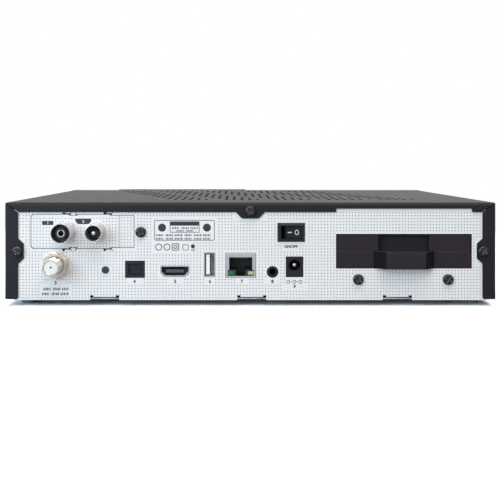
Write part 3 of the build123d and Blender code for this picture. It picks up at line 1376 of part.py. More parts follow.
def drive_screw_places():
    """Four screws through the sled's sides: side, y and z of each."""
    _, _, y0, y1, z0, _ = drive_box()
    return [(side, y, z0 + DRIVE_SCREW_R * 1.5) for side in (-1, 1)
            for y in (y0 + DRIVE_SCREW_ENDS, y1 - DRIVE_SCREW_ENDS)]


def tray_sled():
    """A channel whose side walls close on the drive, open above and at its inner end."""
    left, right, low, y0, y1 = sled_box()
    drive_left, drive_right, _, _, z0, z1 = drive_box()
    sled = block(left, right, y0, y1, low, z1)
    sled = sled - block(drive_left - PIN_FIT, drive_right + PIN_FIT, y0, y1, z0, z1)
    cuts = []
    for side, y, z in drive_screw_places():
        outer = left if side < 0 else right
        inner = drive_left if side < 0 else drive_right
        seat = outer - side * DRIVE_SCREW_T
        cuts.append(rod_x(y, z, DRIVE_SCREW_R + PIN_FIT, min(outer, seat), max(outer, seat)))
        cuts.append(rod_x(y, z, DRIVE_SCREW_STEM + PIN_FIT, min(inner, outer), max(inner, outer)))
    return sled - cuts


def hard_drive():
    """A sealed drive with a rounded upper edge, screw sockets in its sides and a round dish on top."""
    x0, x1, y0, y1, z0, z1 = drive_box()
    body = fillet(block(x0, x1, y0, y1, z0, z1).edges().filter_by(Axis.Z), 2.0)
    dish = rod_z((x0 + x1) / 2, y0 + DRIVE_L * 0.4, DRIVE_W * 0.38, z1 - 0.6, z1)
    sockets = [
        rod_x(y, z, DRIVE_SCREW_STEM + PIN_FIT, min(edge, edge - side * 3.0), max(edge, edge - side * 3.0))
        for side, y, z in drive_screw_places() for edge in [x0 if side < 0 else x1]
    ]
    return body - dish - sockets


def drive_screws():
    left, right = sled_box()[:2]
    drive_left, drive_right = drive_box()[:2]
    made = []
    for side, y, z in drive_screw_places():
        outer = left if side < 0 else right
        seat = outer - side * DRIVE_SCREW_T
        end = (drive_left if side < 0 else drive_right) - side * 2.5
        head = rod_x(y, z, DRIVE_SCREW_R, min(outer, seat), max(outer, seat))
        made.append(head + rod_x(y, z, DRIVE_SCREW_STEM, min(seat, end), max(seat, end)))
    return Compound(children=made)


def drive_socket_box():
    """The plug's y and z range: its mouth stays clear of the drive by a slip."""
    _, _, _, y1, z0, _ = drive_box()
    return y1 + SLIP, BAY_IN + SLIP, z0 + SLIP, z0 + SLIP + DRIVE_PLUG_H


def drive_backplane():
    """A small upright board that stands on the main board just inside the bay's end."""
    y0 = BAY_IN + SLIP
    return centred(from_right(TRAY_X), BACKPLANE_W, y0, y0 + BOARD_T, BOARD_TOP, TRAY_TOP)


def drive_socket():
    y0, y1, z0, z1 = drive_socket_box()
    x = from_right(TRAY_X)
    body = centred(x, DRIVE_PLUG_W, y0, y1, z0, z1)
    blade = centred(x, DRIVE_PLUG_W - 3.0, y0, y0 + 4.0, z0 + 1.2, z1 - 1.2)
    return body - blade


NODES = [
    top_cover, rear_panel, base_pan, feet, cover_screws, panel_screws,
    front_bezel, display_window, front_flap, standby_button, front_board, board_connector,
    main_board, board_standoffs, board_screws, heat_sink, board_chips, capacitors, card_reader, module_slot,
    f_connector_body, f_connector_washer, f_connector_nut, f_connector_insulator, f_connector_contact,
    satellite_tuner_can,
    tuner_plate, tuner_bracket, tuner_can, tuner_slot,
    antenna_in_shell, antenna_in_insulator, antenna_in_contact,
    loop_out_shell, loop_out_insulator, loop_out_pin, hole_plug,
    optical_housing, optical_shutter, video_socket_shell, video_socket_tongue,
    usb_shell, usb_tongue, usb_contacts,
    network_shell, network_insert, network_contacts, network_lights,
    remote_jack, power_jack_housing, power_jack_pin,
    switch_frame, switch_rocker,
    drive_bay, tray_front, tray_sled, hard_drive, drive_screws, drive_backplane, drive_socket,
]

os.makedirs("parts", exist_ok=True)
for node in NODES:
    export_step(node(), "parts/" + node.__name__ + ".step")
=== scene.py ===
import bpy
import bmesh
from math import ceil, cos, pi, radians, sin, tan
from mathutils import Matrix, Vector
from mathutils.bvhtree import BVHTree


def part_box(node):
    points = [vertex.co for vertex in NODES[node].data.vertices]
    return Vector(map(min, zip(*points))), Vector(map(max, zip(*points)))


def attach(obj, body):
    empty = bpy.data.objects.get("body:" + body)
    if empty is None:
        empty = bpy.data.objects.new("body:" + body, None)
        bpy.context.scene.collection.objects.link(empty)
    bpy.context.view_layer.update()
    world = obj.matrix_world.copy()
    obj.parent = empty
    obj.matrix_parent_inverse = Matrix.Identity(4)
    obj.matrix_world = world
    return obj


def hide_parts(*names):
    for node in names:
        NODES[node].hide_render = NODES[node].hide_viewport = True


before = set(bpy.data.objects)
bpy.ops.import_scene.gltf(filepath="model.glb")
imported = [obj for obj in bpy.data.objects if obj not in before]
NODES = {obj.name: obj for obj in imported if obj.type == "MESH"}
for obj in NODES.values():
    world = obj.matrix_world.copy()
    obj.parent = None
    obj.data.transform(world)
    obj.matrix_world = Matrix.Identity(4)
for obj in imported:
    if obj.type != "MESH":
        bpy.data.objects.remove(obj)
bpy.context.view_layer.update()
MM = 0.001
MERGE = 2e-6            # in metres: corners nearer than this are one
FLAT = 0.4              # in degrees: faces that turn less than this are one
CREASE = 30             # in degrees: edges that turn more than this are bevelled
STEEP = 0.5             # a normal's share along an axis, under which a face stands beside that axis
HEAD_R = 2.95           # of the screws that face the rear
CROSS_REACH = 1.9
CROSS_START = 0.15      # how far below a head's crown its cross begins
BAY_SCREW_X = 59.4      # the left one of the two under the drive tray
PAINTED_SHADE_LIP = 0.1               # the base pan's lip is dark, painted shade under the case, up to this far above the panel's foot
LID = 0.1               # a capacitor's bare lid lies within this of its top
CONTACT_RIM = 0.4       # the antenna contact is bright down to this depth, and below it is painted shade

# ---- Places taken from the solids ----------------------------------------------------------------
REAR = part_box("top_cover")[0].y / MM
PANEL_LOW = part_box("rear_panel")[0].z / MM
PANEL_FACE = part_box("rear_panel")[0].y / MM
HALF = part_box("top_cover")[1].x / MM


def span(node):
    """Low and high corners of a solid, in millimetres."""
    low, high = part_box(node)
    return low / MM, high / MM


def middle(node):
    low, high = span(node)
    return (low + high) / 2


# ---- Materials -----------------------------------------------------------------------------------
NOISE_ROUGHNESS = 0.55


def linear(value):
    value /= 255
    return value / 12.92 if value <= 0.04045 else ((value + 0.055) / 1.055) ** 2.4


def rgb(r, g, b):
    """A colour as a screen shows it, 0 to 255, made linear."""
    return (linear(r), linear(g), linear(b), 1)


def shade(colour, factor):
    return tuple(min(1.0, c * factor) for c in colour[:3]) + (1,)


class Finish:
    """A node material with one Principled shader and helpers that hang textures on it."""

    def __init__(self, name, colour, rough, **shader):
        self.material = bpy.data.materials.new(name)
        self.material.use_nodes = True
        self.tree = self.material.node_tree
        self.tree.nodes.clear()
        self.out = self.add("ShaderNodeOutputMaterial")
        self.bsdf = self.add("ShaderNodeBsdfPrincipled")
        self.link(self.bsdf.outputs["BSDF"], self.out.inputs["Surface"])
        self.bsdf.inputs["Base Color"].default_value = colour
        self.bsdf.inputs["Roughness"].default_value = rough
        for key, value in shader.items():
            self.bsdf.inputs[key.replace("_", " ")].default_value = value
        self.place = self.add("ShaderNodeTexCoord").outputs["Object"]

    def add(self, kind, **settings):
        node = self.tree.nodes.new(kind)
        for key, value in settings.items():
            setattr(node, key, value)
        return node

    def link(self, a, b):
        self.tree.links.new(a, b)

    def stretched(self, scale):
        node = self.add("ShaderNodeMapping")
        node.inputs["Scale"].default_value = scale
        self.link(self.place, node.inputs["Vector"])
        return node.outputs["Vector"]

    def noise(self, size, detail=2.0, stretch=None):
        """Noise whose cells are about size millimetres."""
        node = self.add("ShaderNodeTexNoise")
        node.inputs["Scale"].default_value = 1 / (size * MM)
        node.inputs["Detail"].default_value = detail
        node.inputs["Roughness"].default_value = NOISE_ROUGHNESS
        self.link(self.stretched(stretch) if stretch else self.place, node.inputs["Vector"])
        return node.outputs["Fac"]

    def cells(self, size, output):
        """Voronoi cells about size millimetres wide."""
        node = self.add("ShaderNodeTexVoronoi", feature="F1")
        node.inputs["Scale"].default_value = 1 / (size * MM)
        self.link(self.place, node.inputs["Vector"])
        return node.outputs[output]

    def spread(self, value, low, high, from_low=0.3, from_high=0.7):
        """A value's usual range, stretched to run from low to high."""
        node = self.add("ShaderNodeMapRange")
        node.inputs["From Min"].default_value = from_low
        node.inputs["From Max"].default_value = from_high
        node.inputs["To Min"].default_value = low
        node.inputs["To Max"].default_value = high
        self.link(value, node.inputs["Value"])
        return node.outputs["Result"]

    def blend(self, factor, a, b):
        node = self.add("ShaderNodeMix", data_type="RGBA")
        self.link(factor, node.inputs["Factor"])
        for socket, colour in ((node.inputs[6], a), (node.inputs[7], b)):
            if isinstance(colour, tuple):
                socket.default_value = colour
            else:
                self.link(colour, socket)
        return node.outputs[2]

    def tone(self, factor, a, b):
        """The base colour runs between two colours."""
        self.link(self.blend(factor, a, b), self.bsdf.inputs["Base Color"])

    def sheen_of(self, value):
        self.link(value, self.bsdf.inputs["Roughness"])

    def bump(self, height, depth, strength):
        node = self.add("ShaderNodeBump")
        node.inputs["Strength"].default_value = strength
        node.inputs["Distance"].default_value = depth * MM
        self.link(height, node.inputs["Height"])
        self.link(node.outputs["Normal"], self.bsdf.inputs["Normal"])


def coated(name, colour, rough, grain, depth, strength, vary, **shader):
    """Paint or moulded plastic: a fine grain, and a slow drift in tone and roughness.

    grain and depth are the grain's size and relief in millimetres, and vary is the drift's share.
    """
    f = Finish(name, colour, rough, **shader)
    drift = f.noise(14.0, 3.0)
    f.tone(f.spread(drift, 0.0, 1.0), shade(colour, 1 - vary), shade(colour, 1 + vary))
    f.sheen_of(f.spread(f.noise(5.0, 4.0), rough - 0.04, rough + 0.04))
    f.bump(f.noise(grain, 3.0), depth, strength)
    return f.material


def plated(name, colour, rough, grain=0.5, stretch=None, vary=0.05, metal=1.0):
    """Bare or plated metal with fine marks along its working direction."""
    f = Finish(name, colour, rough, Metallic=metal)
    marks = f.noise(grain, 4.0, stretch)
    f.tone(f.spread(f.noise(6.0, 3.0), 0.0, 1.0), shade(colour, 1 - vary), shade(colour, 1 + vary))
    f.sheen_of(f.spread(marks, rough * 0.95, rough * 1.05))
    f.bump(marks, 0.004, 0.04)
    return f.material


def galvanised(name):
    """Zinc-coated steel with a soft spangle."""
    colour = rgb(176, 180, 184)
    f = Finish(name, colour, 0.38, Metallic=1.0)
    cell = f.cells(5.0, "Color")
    split = f.add("ShaderNodeSeparateColor")
    f.link(cell, split.inputs["Color"])
    f.tone(split.outputs["Red"], shade(colour, 0.86), shade(colour, 1.06))
    f.sheen_of(f.spread(split.outputs["Green"], 0.3, 0.48, 0.0, 1.0))
    f.bump(f.noise(0.8, 3.0), 0.004, 0.3)
    return f.material


def circuit(name):
    """Solder mask over copper runs, with small plated holes."""
    mask = rgb(22, 78, 50)
    f = Finish(name, mask, 0.32, Coat_Weight=0.3, Coat_Roughness=0.15)
    runs = f.add("ShaderNodeTexBrick", offset=0.5, offset_frequency=2, squash=1.0)
    runs.inputs["Color1"].default_value = (1, 1, 1, 1)
    runs.inputs["Color2"].default_value = (0.75, 0.75, 0.75, 1)
    runs.inputs["Mortar"].default_value = (0, 0, 0, 1)
    runs.inputs["Scale"].default_value = 1
    runs.inputs["Mortar Size"].default_value = 0.00022
    runs.inputs["Brick Width"].default_value = 0.0115
    runs.inputs["Row Height"].default_value = 0.0012
    f.link(f.place, runs.inputs["Vector"])
    copper = f.blend(runs.outputs["Fac"], mask, rgb(44, 112, 70))
    holes = f.cells(3.4, "Distance")
    pads = f.add("ShaderNodeMath", operation="LESS_THAN")
    f.link(holes, pads.inputs[0])
    pads.inputs[1].default_value = 0.11
    f.tone(pads.outputs[0], copper, rgb(196, 186, 158))
    f.bump(runs.outputs["Fac"], 0.03, 0.4)
    return f.material


def lens_with_painted_glow(name, colour):
    """A small light's lens: cloudy plastic, with a faint painted glow."""
    f = Finish(name, colour, 0.25, Emission_Color=colour, Emission_Strength=0.05)
    f.tone(f.spread(f.noise(0.7, 2.0), 0.0, 1.0), shade(colour, 0.55), shade(colour, 1.2))
    return f.material


def inked(name, colour):
    """Screen-printed ink, slightly uneven."""
    f = Finish(name, colour, 0.5)
    f.tone(f.spread(f.noise(0.35, 2.0), 0.0, 1.0), shade(colour, 0.85), shade(colour, 1.15))
    return f.material


def smoked(name):
    """A dark glossy pane with a faint vertical drift, as tinted acrylic has."""
    colour = rgb(8, 9, 12)
    f = Finish(name, colour, 0.06, Coat_Weight=0.6, Coat_Roughness=0.03)
    f.tone(f.spread(f.noise(40.0, 1.0), 0.0, 1.0), shade(colour, 0.8), shade(colour, 1.4))
    f.sheen_of(f.spread(f.noise(9.0, 3.0), 0.05, 0.09))
    return f.material


COVER = coated("cover_paint", rgb(29, 28, 32), 0.48, 0.55, 0.02, 0.4, 0.05, Specular_IOR_Level=0.19)
PANEL = coated("panel_paint", rgb(238, 232, 228), 0.42, 0.6, 0.006, 0.25, 0.012)
PLATE = coated("plate_paint", rgb(236, 231, 227), 0.42, 0.6, 0.006, 0.25, 0.012)
ZINC = galvanised("zinc_steel")
# bare cut steel, darkened well below steel's own colour as painted shade for the dark gaps round sheets and
# openings
CUT_STEEL_AND_SHADE = plated("cut_edge_and_painted_shade", rgb(58, 59, 64), 0.5, 0.3)
# pale finish for the walls of the screws' cross recesses: a painted glint
PAINTED_GLINT = plated("recess_painted_glint", rgb(206, 204, 206), 0.35, 0.3, metal=0.6)
SCREW = plated("screw_steel", rgb(62, 59, 60), 0.24, 0.4, None, 0.15)
BRIGHT = plated("bright_nickel", rgb(214, 214, 216), 0.2, 0.5, (1, 5, 1), metal=0.8)
WARM = plated("warm_nickel", rgb(222, 211, 198), 0.25, 0.5, (1, 5, 1), metal=0.74)
GOLD = plated("gold_contact", rgb(226, 186, 104), 0.22)
BEZEL = coated(
    "bezel_black", rgb(25, 25, 28), 0.24, 3.0, 0.004, 0.2, 0.1, Coat_Weight=0.35, Coat_Roughness=0.1,
)
BLACK = coated("black_plastic", rgb(35, 34, 37), 0.46, 0.35, 0.012, 0.5, 0.06, Specular_IOR_Level=0.2)
OPTIC = coated("optical_black", rgb(36, 38, 45), 0.46, 0.35, 0.012, 0.5, 0.06, Specular_IOR_Level=0.2)
# black plastic of the insulators and the network insert, also used as painted shade on the antenna contact's
# bore, the shutter's sides and the USB contacts
DARK_PLASTIC_AND_SHADE = coated("dark_plastic_and_painted_shade", rgb(24, 23, 25), 0.5, 0.35, 0.012, 0.5, 0.06)
TRAY = coated("tray_black", rgb(43, 37, 41), 0.5, 0.45, 0.02, 0.5, 0.05, Specular_IOR_Level=0.15)
# the tray's side facets: a darker black as painted shade, with a coarser grain
TRAY_PAINTED_SHADE = coated("tray_black_painted_shade", rgb(23, 22, 25), 0.7, 0.6, 0.03, 0.6, 0.05, Specular_IOR_Level=0.08)
WINDOW = smoked("smoked_window")
BUTTON = coated("button_grey", rgb(142, 144, 150), 0.3, 0.6, 0.006, 0.3, 0.04, Metallic=0.5)
RUBBER = coated("foot_rubber", rgb(150, 158, 165), 0.7, 0.5, 0.03, 0.6, 0.05)
CIRCUIT = circuit("board_green")
CHIP = coated("chip_black", rgb(34, 34, 36), 0.5, 0.3, 0.01, 0.5, 0.08)
DIELECTRIC = coated("white_dielectric", rgb(236, 234, 228), 0.35, 0.6, 0.006, 0.3, 0.02)
WHITE = coated("white_tongue", rgb(246, 246, 244), 0.4, 0.6, 0.006, 0.3, 0.02)
# the network lights' lenses carry a faint painted glow
GREEN = lens_with_painted_glow("light_green", rgb(40, 112, 66))
YELLOW = lens_with_painted_glow("light_yellow", rgb(188, 186, 140))
SLEEVE = coated("capacitor_sleeve", rgb(28, 32, 44), 0.3, 0.6, 0.006, 0.3, 0.06)
ALUMINIUM = plated("bare_aluminium", rgb(196, 198, 202), 0.34, 0.6, (1, 0.15, 1))
PLUG = coated("plug_grey", rgb(58, 62, 70), 0.45, 0.4, 0.01, 0.5, 0.06, Specular_IOR_Level=0.2)
BLUE_GREY = coated("tongue_grey", rgb(74, 78, 90), 0.42, 0.4, 0.01, 0.4, 0.06)
INK = inked("print_ink", rgb(33, 35, 42))
DOT = inked("print_dots", rgb(136, 142, 151))
PALE_INK = inked("print_pale", rgb(222, 226, 230))
GREY_INK = inked("print_grey", rgb(66, 70, 79))


# ---- Pieces made from the solids -----------------------------------------------------------------
def new_piece(name, verts, faces, material, body, smooth=CREASE):
    """A mesh with its finish (or a list of them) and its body."""
    mesh = bpy.data.meshes.new(name)
    mesh.from_pydata(verts, [], faces)
    mesh.validate()
    mesh.shade_smooth()
    mesh.set_sharp_from_angle(angle=radians(smooth))
    for m in material if isinstance(material, (list, tuple)) else [material]:
        mesh.materials.append(m)
    piece = bpy.data.objects.new(name, mesh)
    bpy.context.scene.collection.objects.link(piece)
    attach(piece, body)
    return piece


def dress(node, material, bevel, body="chassis", pick=None, segments=2):
    """A copy of a solid with softened edges and its own finish, which stands for the solid.

    pick takes a face's middle in millimetres and its normal, and gives another finish for it, or None.
    """
    bm = bmesh.new()
    bm.from_mesh(NODES[node].data)
    bmesh.ops.remove_doubles(bm, verts=bm.verts, dist=MERGE)
    bmesh.ops.dissolve_limit(bm, angle_limit=radians(FLAT), verts=bm.verts, edges=bm.edges)
    bm.normal_update()
    verts = [v.co.copy() for v in bm.verts]
    faces = [[v.index for v in f.verts] for f in bm.faces]
    which = [0] * len(faces)
    materials = [material]
    if pick:
        for f in bm.faces:
            chosen = pick(f.calc_center_median() / MM, f.normal)
            if chosen is not None:
                if chosen not in materials:
                    materials.append(chosen)
                which[f.index] = materials.index(chosen)
    bm.free()
    piece = new_piece(node + "_skin", verts, faces, materials, body)
    if len(piece.data.polygons) == len(which):
        piece.data.polygons.foreach_set("material_index", which)
    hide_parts(node)
    soften(piece, bevel, segments)


def soften(piece, width, segments):
    edge = piece.modifiers.new("edge", "BEVEL")
    edge.width = width * MM
    edge.segments = segments
    edge.limit_method = "ANGLE"
    edge.angle_limit = radians(CREASE)
    edge.harden_normals = True
    edge.use_clamp_overlap = True
    edge.miter_outer = "MITER_ARC"


# ---- Meshes drawn on the panel -------------------------------------------------------------------
STROKE_WIDTHS = (0.62, 0.38, 0.74, 0.5, 0.3, 0.66, 0.46)
STROKE_SHARES = (0.82, 1.0, 0.9)    # of a line's height
STROKE_GAP = 0.34
LAST_STROKE = 0.2                   # the least room that a line's last stroke takes
STROKES_A_WORD = 6                  # the last of them is left out


class Print:
    """Flat ink shapes on a plane that faces the rear, in millimetres along X and up from a foot."""

    def __init__(self, y, foot=0.0):
        self.y = y
        self.foot = foot
        self.verts = []
        self.faces = []

    def polygon(self, points):
        start = len(self.verts)
        self.verts += [(x * MM, self.y * MM, (z + self.foot) * MM) for x, z in points]
        area = sum(a[0] * b[1] - b[0] * a[1] for a, b in zip(points, points[1:] + points[:1]))
        order = range(start, start + len(points))
        self.faces.append(list(order) if area > 0 else list(reversed(order)))

    def bar(self, x0, x1, z0, z1):
        self.polygon([(x0, z0), (x1, z0), (x1, z1), (x0, z1)])

    def disc(self, x, z, radius, steps=24, turn=0.0):
        self.polygon([
            (x + radius * cos(turn + 2 * pi * i / steps), z + radius * sin(turn + 2 * pi * i / steps))
            for i in range(steps)
        ])

    def ribbon(self, outer, inner):
        for i in range(len(outer)):
            j = (i + 1) % len(outer)
            self.polygon([outer[i], outer[j], inner[j], inner[i]])

    def ring(self, x, z, radius_x, radius_z, width, steps=28):
        turns = [2 * pi * i / steps for i in range(steps)]
        self.ribbon(*[
            [(x + (radius_x - cut) * cos(t), z + (radius_z - cut) * sin(t)) for t in turns]
            for cut in (0, width)
        ])

    def frame(self, x0, x1, z0, z1, width, corner):
        inner = (x0 + width, x1 - width, z0 + width, z1 - width, max(corner - width, 0.0))
        self.ribbon(rounded(x0, x1, z0, z1, corner), rounded(*inner))

    def dashes(self, x0, x1, z, height):
        """A line of short upright strokes of uneven width, in place of small words."""
        x, i = x0, 0
        while x < x1 - LAST_STROKE:
            wide = STROKE_WIDTHS[i % len(STROKE_WIDTHS)]
            if i % STROKES_A_WORD != STROKES_A_WORD - 1:
                self.bar(x, min(x + wide, x1), z, z + height * STROKE_SHARES[i % len(STROKE_SHARES)])
            x += wide + STROKE_GAP
            i += 1

    def digits(self, text, x, z, height, width=None):
        """Plain figures in the built-in font, centred on x with their feet at z."""
        curve = bpy.data.curves.new("figures", "FONT")
        curve.body = text
        curve.resolution_u = 3
        curve.offset = 0.04         # heavier figures
        holder = bpy.data.objects.new("figures", curve)
        bpy.context.scene.collection.objects.link(holder)
        bpy.context.view_layer.update()
        mesh = holder.to_mesh()
        xs = [v.co.x for v in mesh.vertices]
        ys = [v.co.y for v in mesh.vertices]
        scale = height / (max(ys) - min(ys))
        wide = scale if width is None else width / (max(xs) - min(xs))
        mid = (max(xs) + min(xs)) / 2
        for f in mesh.polygons:
            points = [mesh.vertices[i].co for i in f.vertices]
            self.polygon([(x + (p.x - mid) * wide, z + (p.y - min(ys)) * scale) for p in points])
        holder.to_mesh_clear()
        bpy.data.objects.remove(holder)
        bpy.data.curves.remove(curve)

    def piece(self, name, material):
        new_piece(name, self.verts, self.faces, material, "chassis")


def rounded(x0, x1, z0, z1, corner, steps=5):
    """A rectangle's outline with round corners, anticlockwise."""
    points = []
    for cx, cz, turn in (
        (x1 - corner, z0 + corner, -pi / 2), (x1 - corner, z1 - corner, 0),
        (x0 + corner, z1 - corner, pi / 2), (x0 + corner, z0 + corner, pi),
    ):
        for i in range(steps + 1):
            a = turn + pi / 2 * i / steps
            points.append((cx + corner * cos(a), cz + corner * sin(a)))
    return points


def rear_screws():
    """Middles of the six screw heads that face the rear."""
    low, high = span("cover_screws")
    side_z = low.z + HEAD_R
    places = [Vector((low.x + HEAD_R, 0, side_z)), Vector((high.x - HEAD_R, 0, side_z))]
    places.append(Vector((0, 0, high.z - HEAD_R)))
    low, high = span("panel_screws")
    places.append(Vector((low.x + HEAD_R, 0, high.z - HEAD_R)))
    places += [Vector((x, 0, low.z + HEAD_R)) for x in (BAY_SCREW_X, high.x - HEAD_R)]
    return places


REAR_SCREWS = rear_screws()


def in_recess(p, n, crown):
    """True for the walls of a rear screw's cross recess, which get a painted glint."""
    away = min(((p.x - c.x) ** 2 + (p.z - c.z) ** 2) ** 0.5 for c in REAR_SCREWS)
    return away < CROSS_REACH and p.y > crown + CROSS_START and n.y > -0.9


def cut_side(p, n):
    """The finish of a painted sheet's cut sides: bare steel, kept dark as painted shade for the gaps round
    sheets and openings.
    """
    return CUT_STEEL_AND_SHADE if abs(n.y) < STEEP else None


# ---- Case ----------------------------------------------------------------------------------------
dress("top_cover", COVER, 0.16)
dress("rear_panel", PANEL, 0.08, pick=cut_side)
# The base pan's underside and its low lip take the cover's dark paint: painted shade under the case.
dress(
    "base_pan", ZINC, 0.1,
    pick=lambda p, n: COVER if n.z < -STEEP or (n.y < -STEEP and p.z < PANEL_LOW + PAINTED_SHADE_LIP) else None,
)
dress("feet", RUBBER, 0.35, segments=3)
# The walls of each rear screw's cross recess carry a painted glint.
for name in ("cover_screws", "panel_screws"):
    crown = span(name)[0].y
    dress(
        name, SCREW, 0.12,
        pick=lambda p, n, y=crown: PAINTED_GLINT if in_recess(p, n, y) else None,
    )
dress("front_bezel", BEZEL, 0.25, segments=3)
dress("display_window", WINDOW, 0.1)
dress("front_flap", BEZEL, 0.25, body="flap", segments=3)
dress("standby_button", BUTTON, 0.2, body="standby", segments=3)
dress("hole_plug", PLUG, 0.15)

# ---- Inside --------------------------------------------------------------------------------------
dress("front_board", CIRCUIT, 0.05)
dress("board_connector", BLACK, 0.2)
dress("main_board", CIRCUIT, 0.05)
dress("board_standoffs", BRIGHT, 0.1)
dress("board_screws", BRIGHT, 0.12)
dress("heat_sink", ALUMINIUM, 0.12)
dress("board_chips", CHIP, 0.12)
dress(
    "capacitors", SLEEVE, 0.25,
    pick=lambda p, n, top=span("capacitors")[1].z - LID: ALUMINIUM if n.z > 0.9 and p.z > top else None,
)
dress("card_reader", BRIGHT, 0.15)
dress("module_slot", BLACK, 0.2)
dress("satellite_tuner_can", BRIGHT, 0.15)
dress("tuner_bracket", CUT_STEEL_AND_SHADE, 0.1)
dress("tuner_can", BRIGHT, 0.15)
dress("tuner_slot", BLACK, 0.2)
dress("drive_bay", ZINC, 0.1)
dress("drive_backplane", CIRCUIT, 0.05)
dress("drive_socket", BLACK, 0.2)

# ---- Drive tray ----------------------------------------------------------------------------------
# The handle's and the pocket's side facets get the darker black: painted shade on the sides that turn from
# the light.
dress(
    "tray_front", TRAY, 0.2, body="drive_tray", segments=3,
    pick=lambda p, n: TRAY_PAINTED_SHADE if abs(n.x) > 0.3 and n.y < -0.2 else None,
)
dress("tray_sled", ZINC, 0.1, body="drive_tray")
dress("hard_drive", ALUMINIUM, 0.25, body="drive_tray")
dress("drive_screws", BRIGHT, 0.1, body="drive_tray")

# ---- Sockets -------------------------------------------------------------------------------------
dress("tuner_plate", PLATE, 0.08, pick=cut_side)
dress("f_connector_washer", WARM, 0.12)
dress("f_connector_insulator", DIELECTRIC, 0.15)
dress("f_connector_contact", GOLD, 0.05)
dress("antenna_in_shell", BRIGHT, 0.1, segments=3)
dress("antenna_in_insulator", DARK_PLASTIC_AND_SHADE, 0.15)
# Deeper than its rim, the antenna contact is painted dark: painted shade down its bore.
dress(
    "antenna_in_contact", BRIGHT, 0.08,
    pick=lambda p, n, deep=span("antenna_in_contact")[0].y + CONTACT_RIM: DARK_PLASTIC_AND_SHADE if p.y > deep else None,
)
dress("loop_out_shell", BRIGHT, 0.1, segments=3)
dress("loop_out_insulator", DARK_PLASTIC_AND_SHADE, 0.15)
dress("loop_out_pin", BRIGHT, 0.3, segments=3)
dress("optical_housing", OPTIC, 0.2)
# The shutter's sides are painted dark: painted shade in the gap round it.
dress(
    "optical_shutter", OPTIC, 0.15, body="shutter",
    pick=lambda p, n: DARK_PLASTIC_AND_SHADE if abs(n.y) < STEEP else None,
)
dress("video_socket_shell", BRIGHT, 0.1)
dress("video_socket_tongue", BLUE_GREY, 0.12)
dress("usb_shell", BRIGHT, 0.1)
dress("usb_tongue", WHITE, 0.12)
# The contact springs are painted dark: painted shade inside the socket.
dress("usb_contacts", DARK_PLASTIC_AND_SHADE, 0.04)
dress("network_shell", BRIGHT, 0.12)
dress("network_insert", DARK_PLASTIC_AND_SHADE, 0.12)
dress("network_contacts", GOLD, 0.04)
dress(
    "network_lights", GREEN, 0.12,
    pick=lambda p, n, half=middle("network_lights").x: YELLOW if p.x > half else None,
)
dress("remote_jack", BLACK, 0.15)
dress("power_jack_housing", BLACK, 0.2)
dress("power_jack_pin", BRIGHT, 0.2, segments=3)
dress("switch_frame", BLACK, 0.25, segments=3)
dress("switch_rocker", BLACK, 0.2, body="rocker", segments=3)


# ---- Satellite input: helical thread and chamfered nut -------------------------------------------
THREAD_ROOT = 4.34      # the barrel's radii, in millimetres
THREAD_CREST = 4.72
BARREL_BORE = 3.7
NECK_R = 4.4            # where the barrel passes the panel
BACK_R = 6.5
THREAD_PITCH = 0.794
THREAD_ROWS = 10        # rows of corners in one pitch
THREAD_LEAD = 0.5       # how far below the crest the thread starts at the mouth
MOUTH_DEPTH = 0.25      # the bore's chamfer at the mouth
MOUTH_WIDEN = 0.22
BARREL_STEPS = 96
NUT_BORE = 4.46
NUT_MOUTH_DEPTH = 0.7   # the nut bore's own chamfer
NUT_MOUTH_WIDEN = 0.6
NUT_RIM = 0.1           # how far outside the flats the corners' chamfer starts
NUT_RIM_GAP = 0.05
NUT_CHAMFER = 32        # in degrees
NUT_EDGE = 0.06         # the least height of that chamfer
NUT_STEPS = 120


def turned(name, rings, centre, smooth):
    """Rings of (Y, radius), each closed on itself, one after another round a centre line along Y."""
    steps, count = len(rings), len(rings[0])
    verts, faces = [], []
    for i, ring in enumerate(rings):
        turn = 2 * pi * i / steps
        verts += [((centre.x + r * cos(turn)) * MM, y * MM, (centre.z + r * sin(turn)) * MM) for y, r in ring]
        j = (i + 1) % steps
        for k in range(count):
            m = (k + 1) % count
            faces.append((i * count + k, i * count + m, j * count + m, j * count + k))
    return new_piece(name, verts, faces, WARM, "chassis", smooth)


def threaded_barrel():
    low, high = span("f_connector_body")
    tip, face, back = low.y, span("f_connector_nut")[0].y, high.y
    inner = span("rear_panel")[1].y
    count = ceil((face - tip) / THREAD_PITCH * THREAD_ROWS)
    rings = []
    for step in range(BARREL_STEPS):
        ring = [(back, BARREL_BORE), (tip + MOUTH_DEPTH, BARREL_BORE), (tip, BARREL_BORE + MOUTH_WIDEN)]
        for i in range(count + 1):
            along = (face - tip) * i / count
            phase = (along / THREAD_PITCH + step / BARREL_STEPS) % 1.0
            wave = min(1.0, max(0.0, 1.6 * (1 - abs(phase * 2 - 1)) - 0.25))      # flat crest and root
            radius = THREAD_ROOT + (THREAD_CREST - THREAD_ROOT) * wave
            ring.append((tip + along, min(radius, THREAD_CREST - THREAD_LEAD + along)))
        ring += [(face, NECK_R), (inner, NECK_R), (inner, BACK_R), (back, BACK_R)]
        rings.append(ring)
    piece = turned("f_connector_barrel", rings, middle("f_connector_washer"), 40)
    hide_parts("f_connector_body")


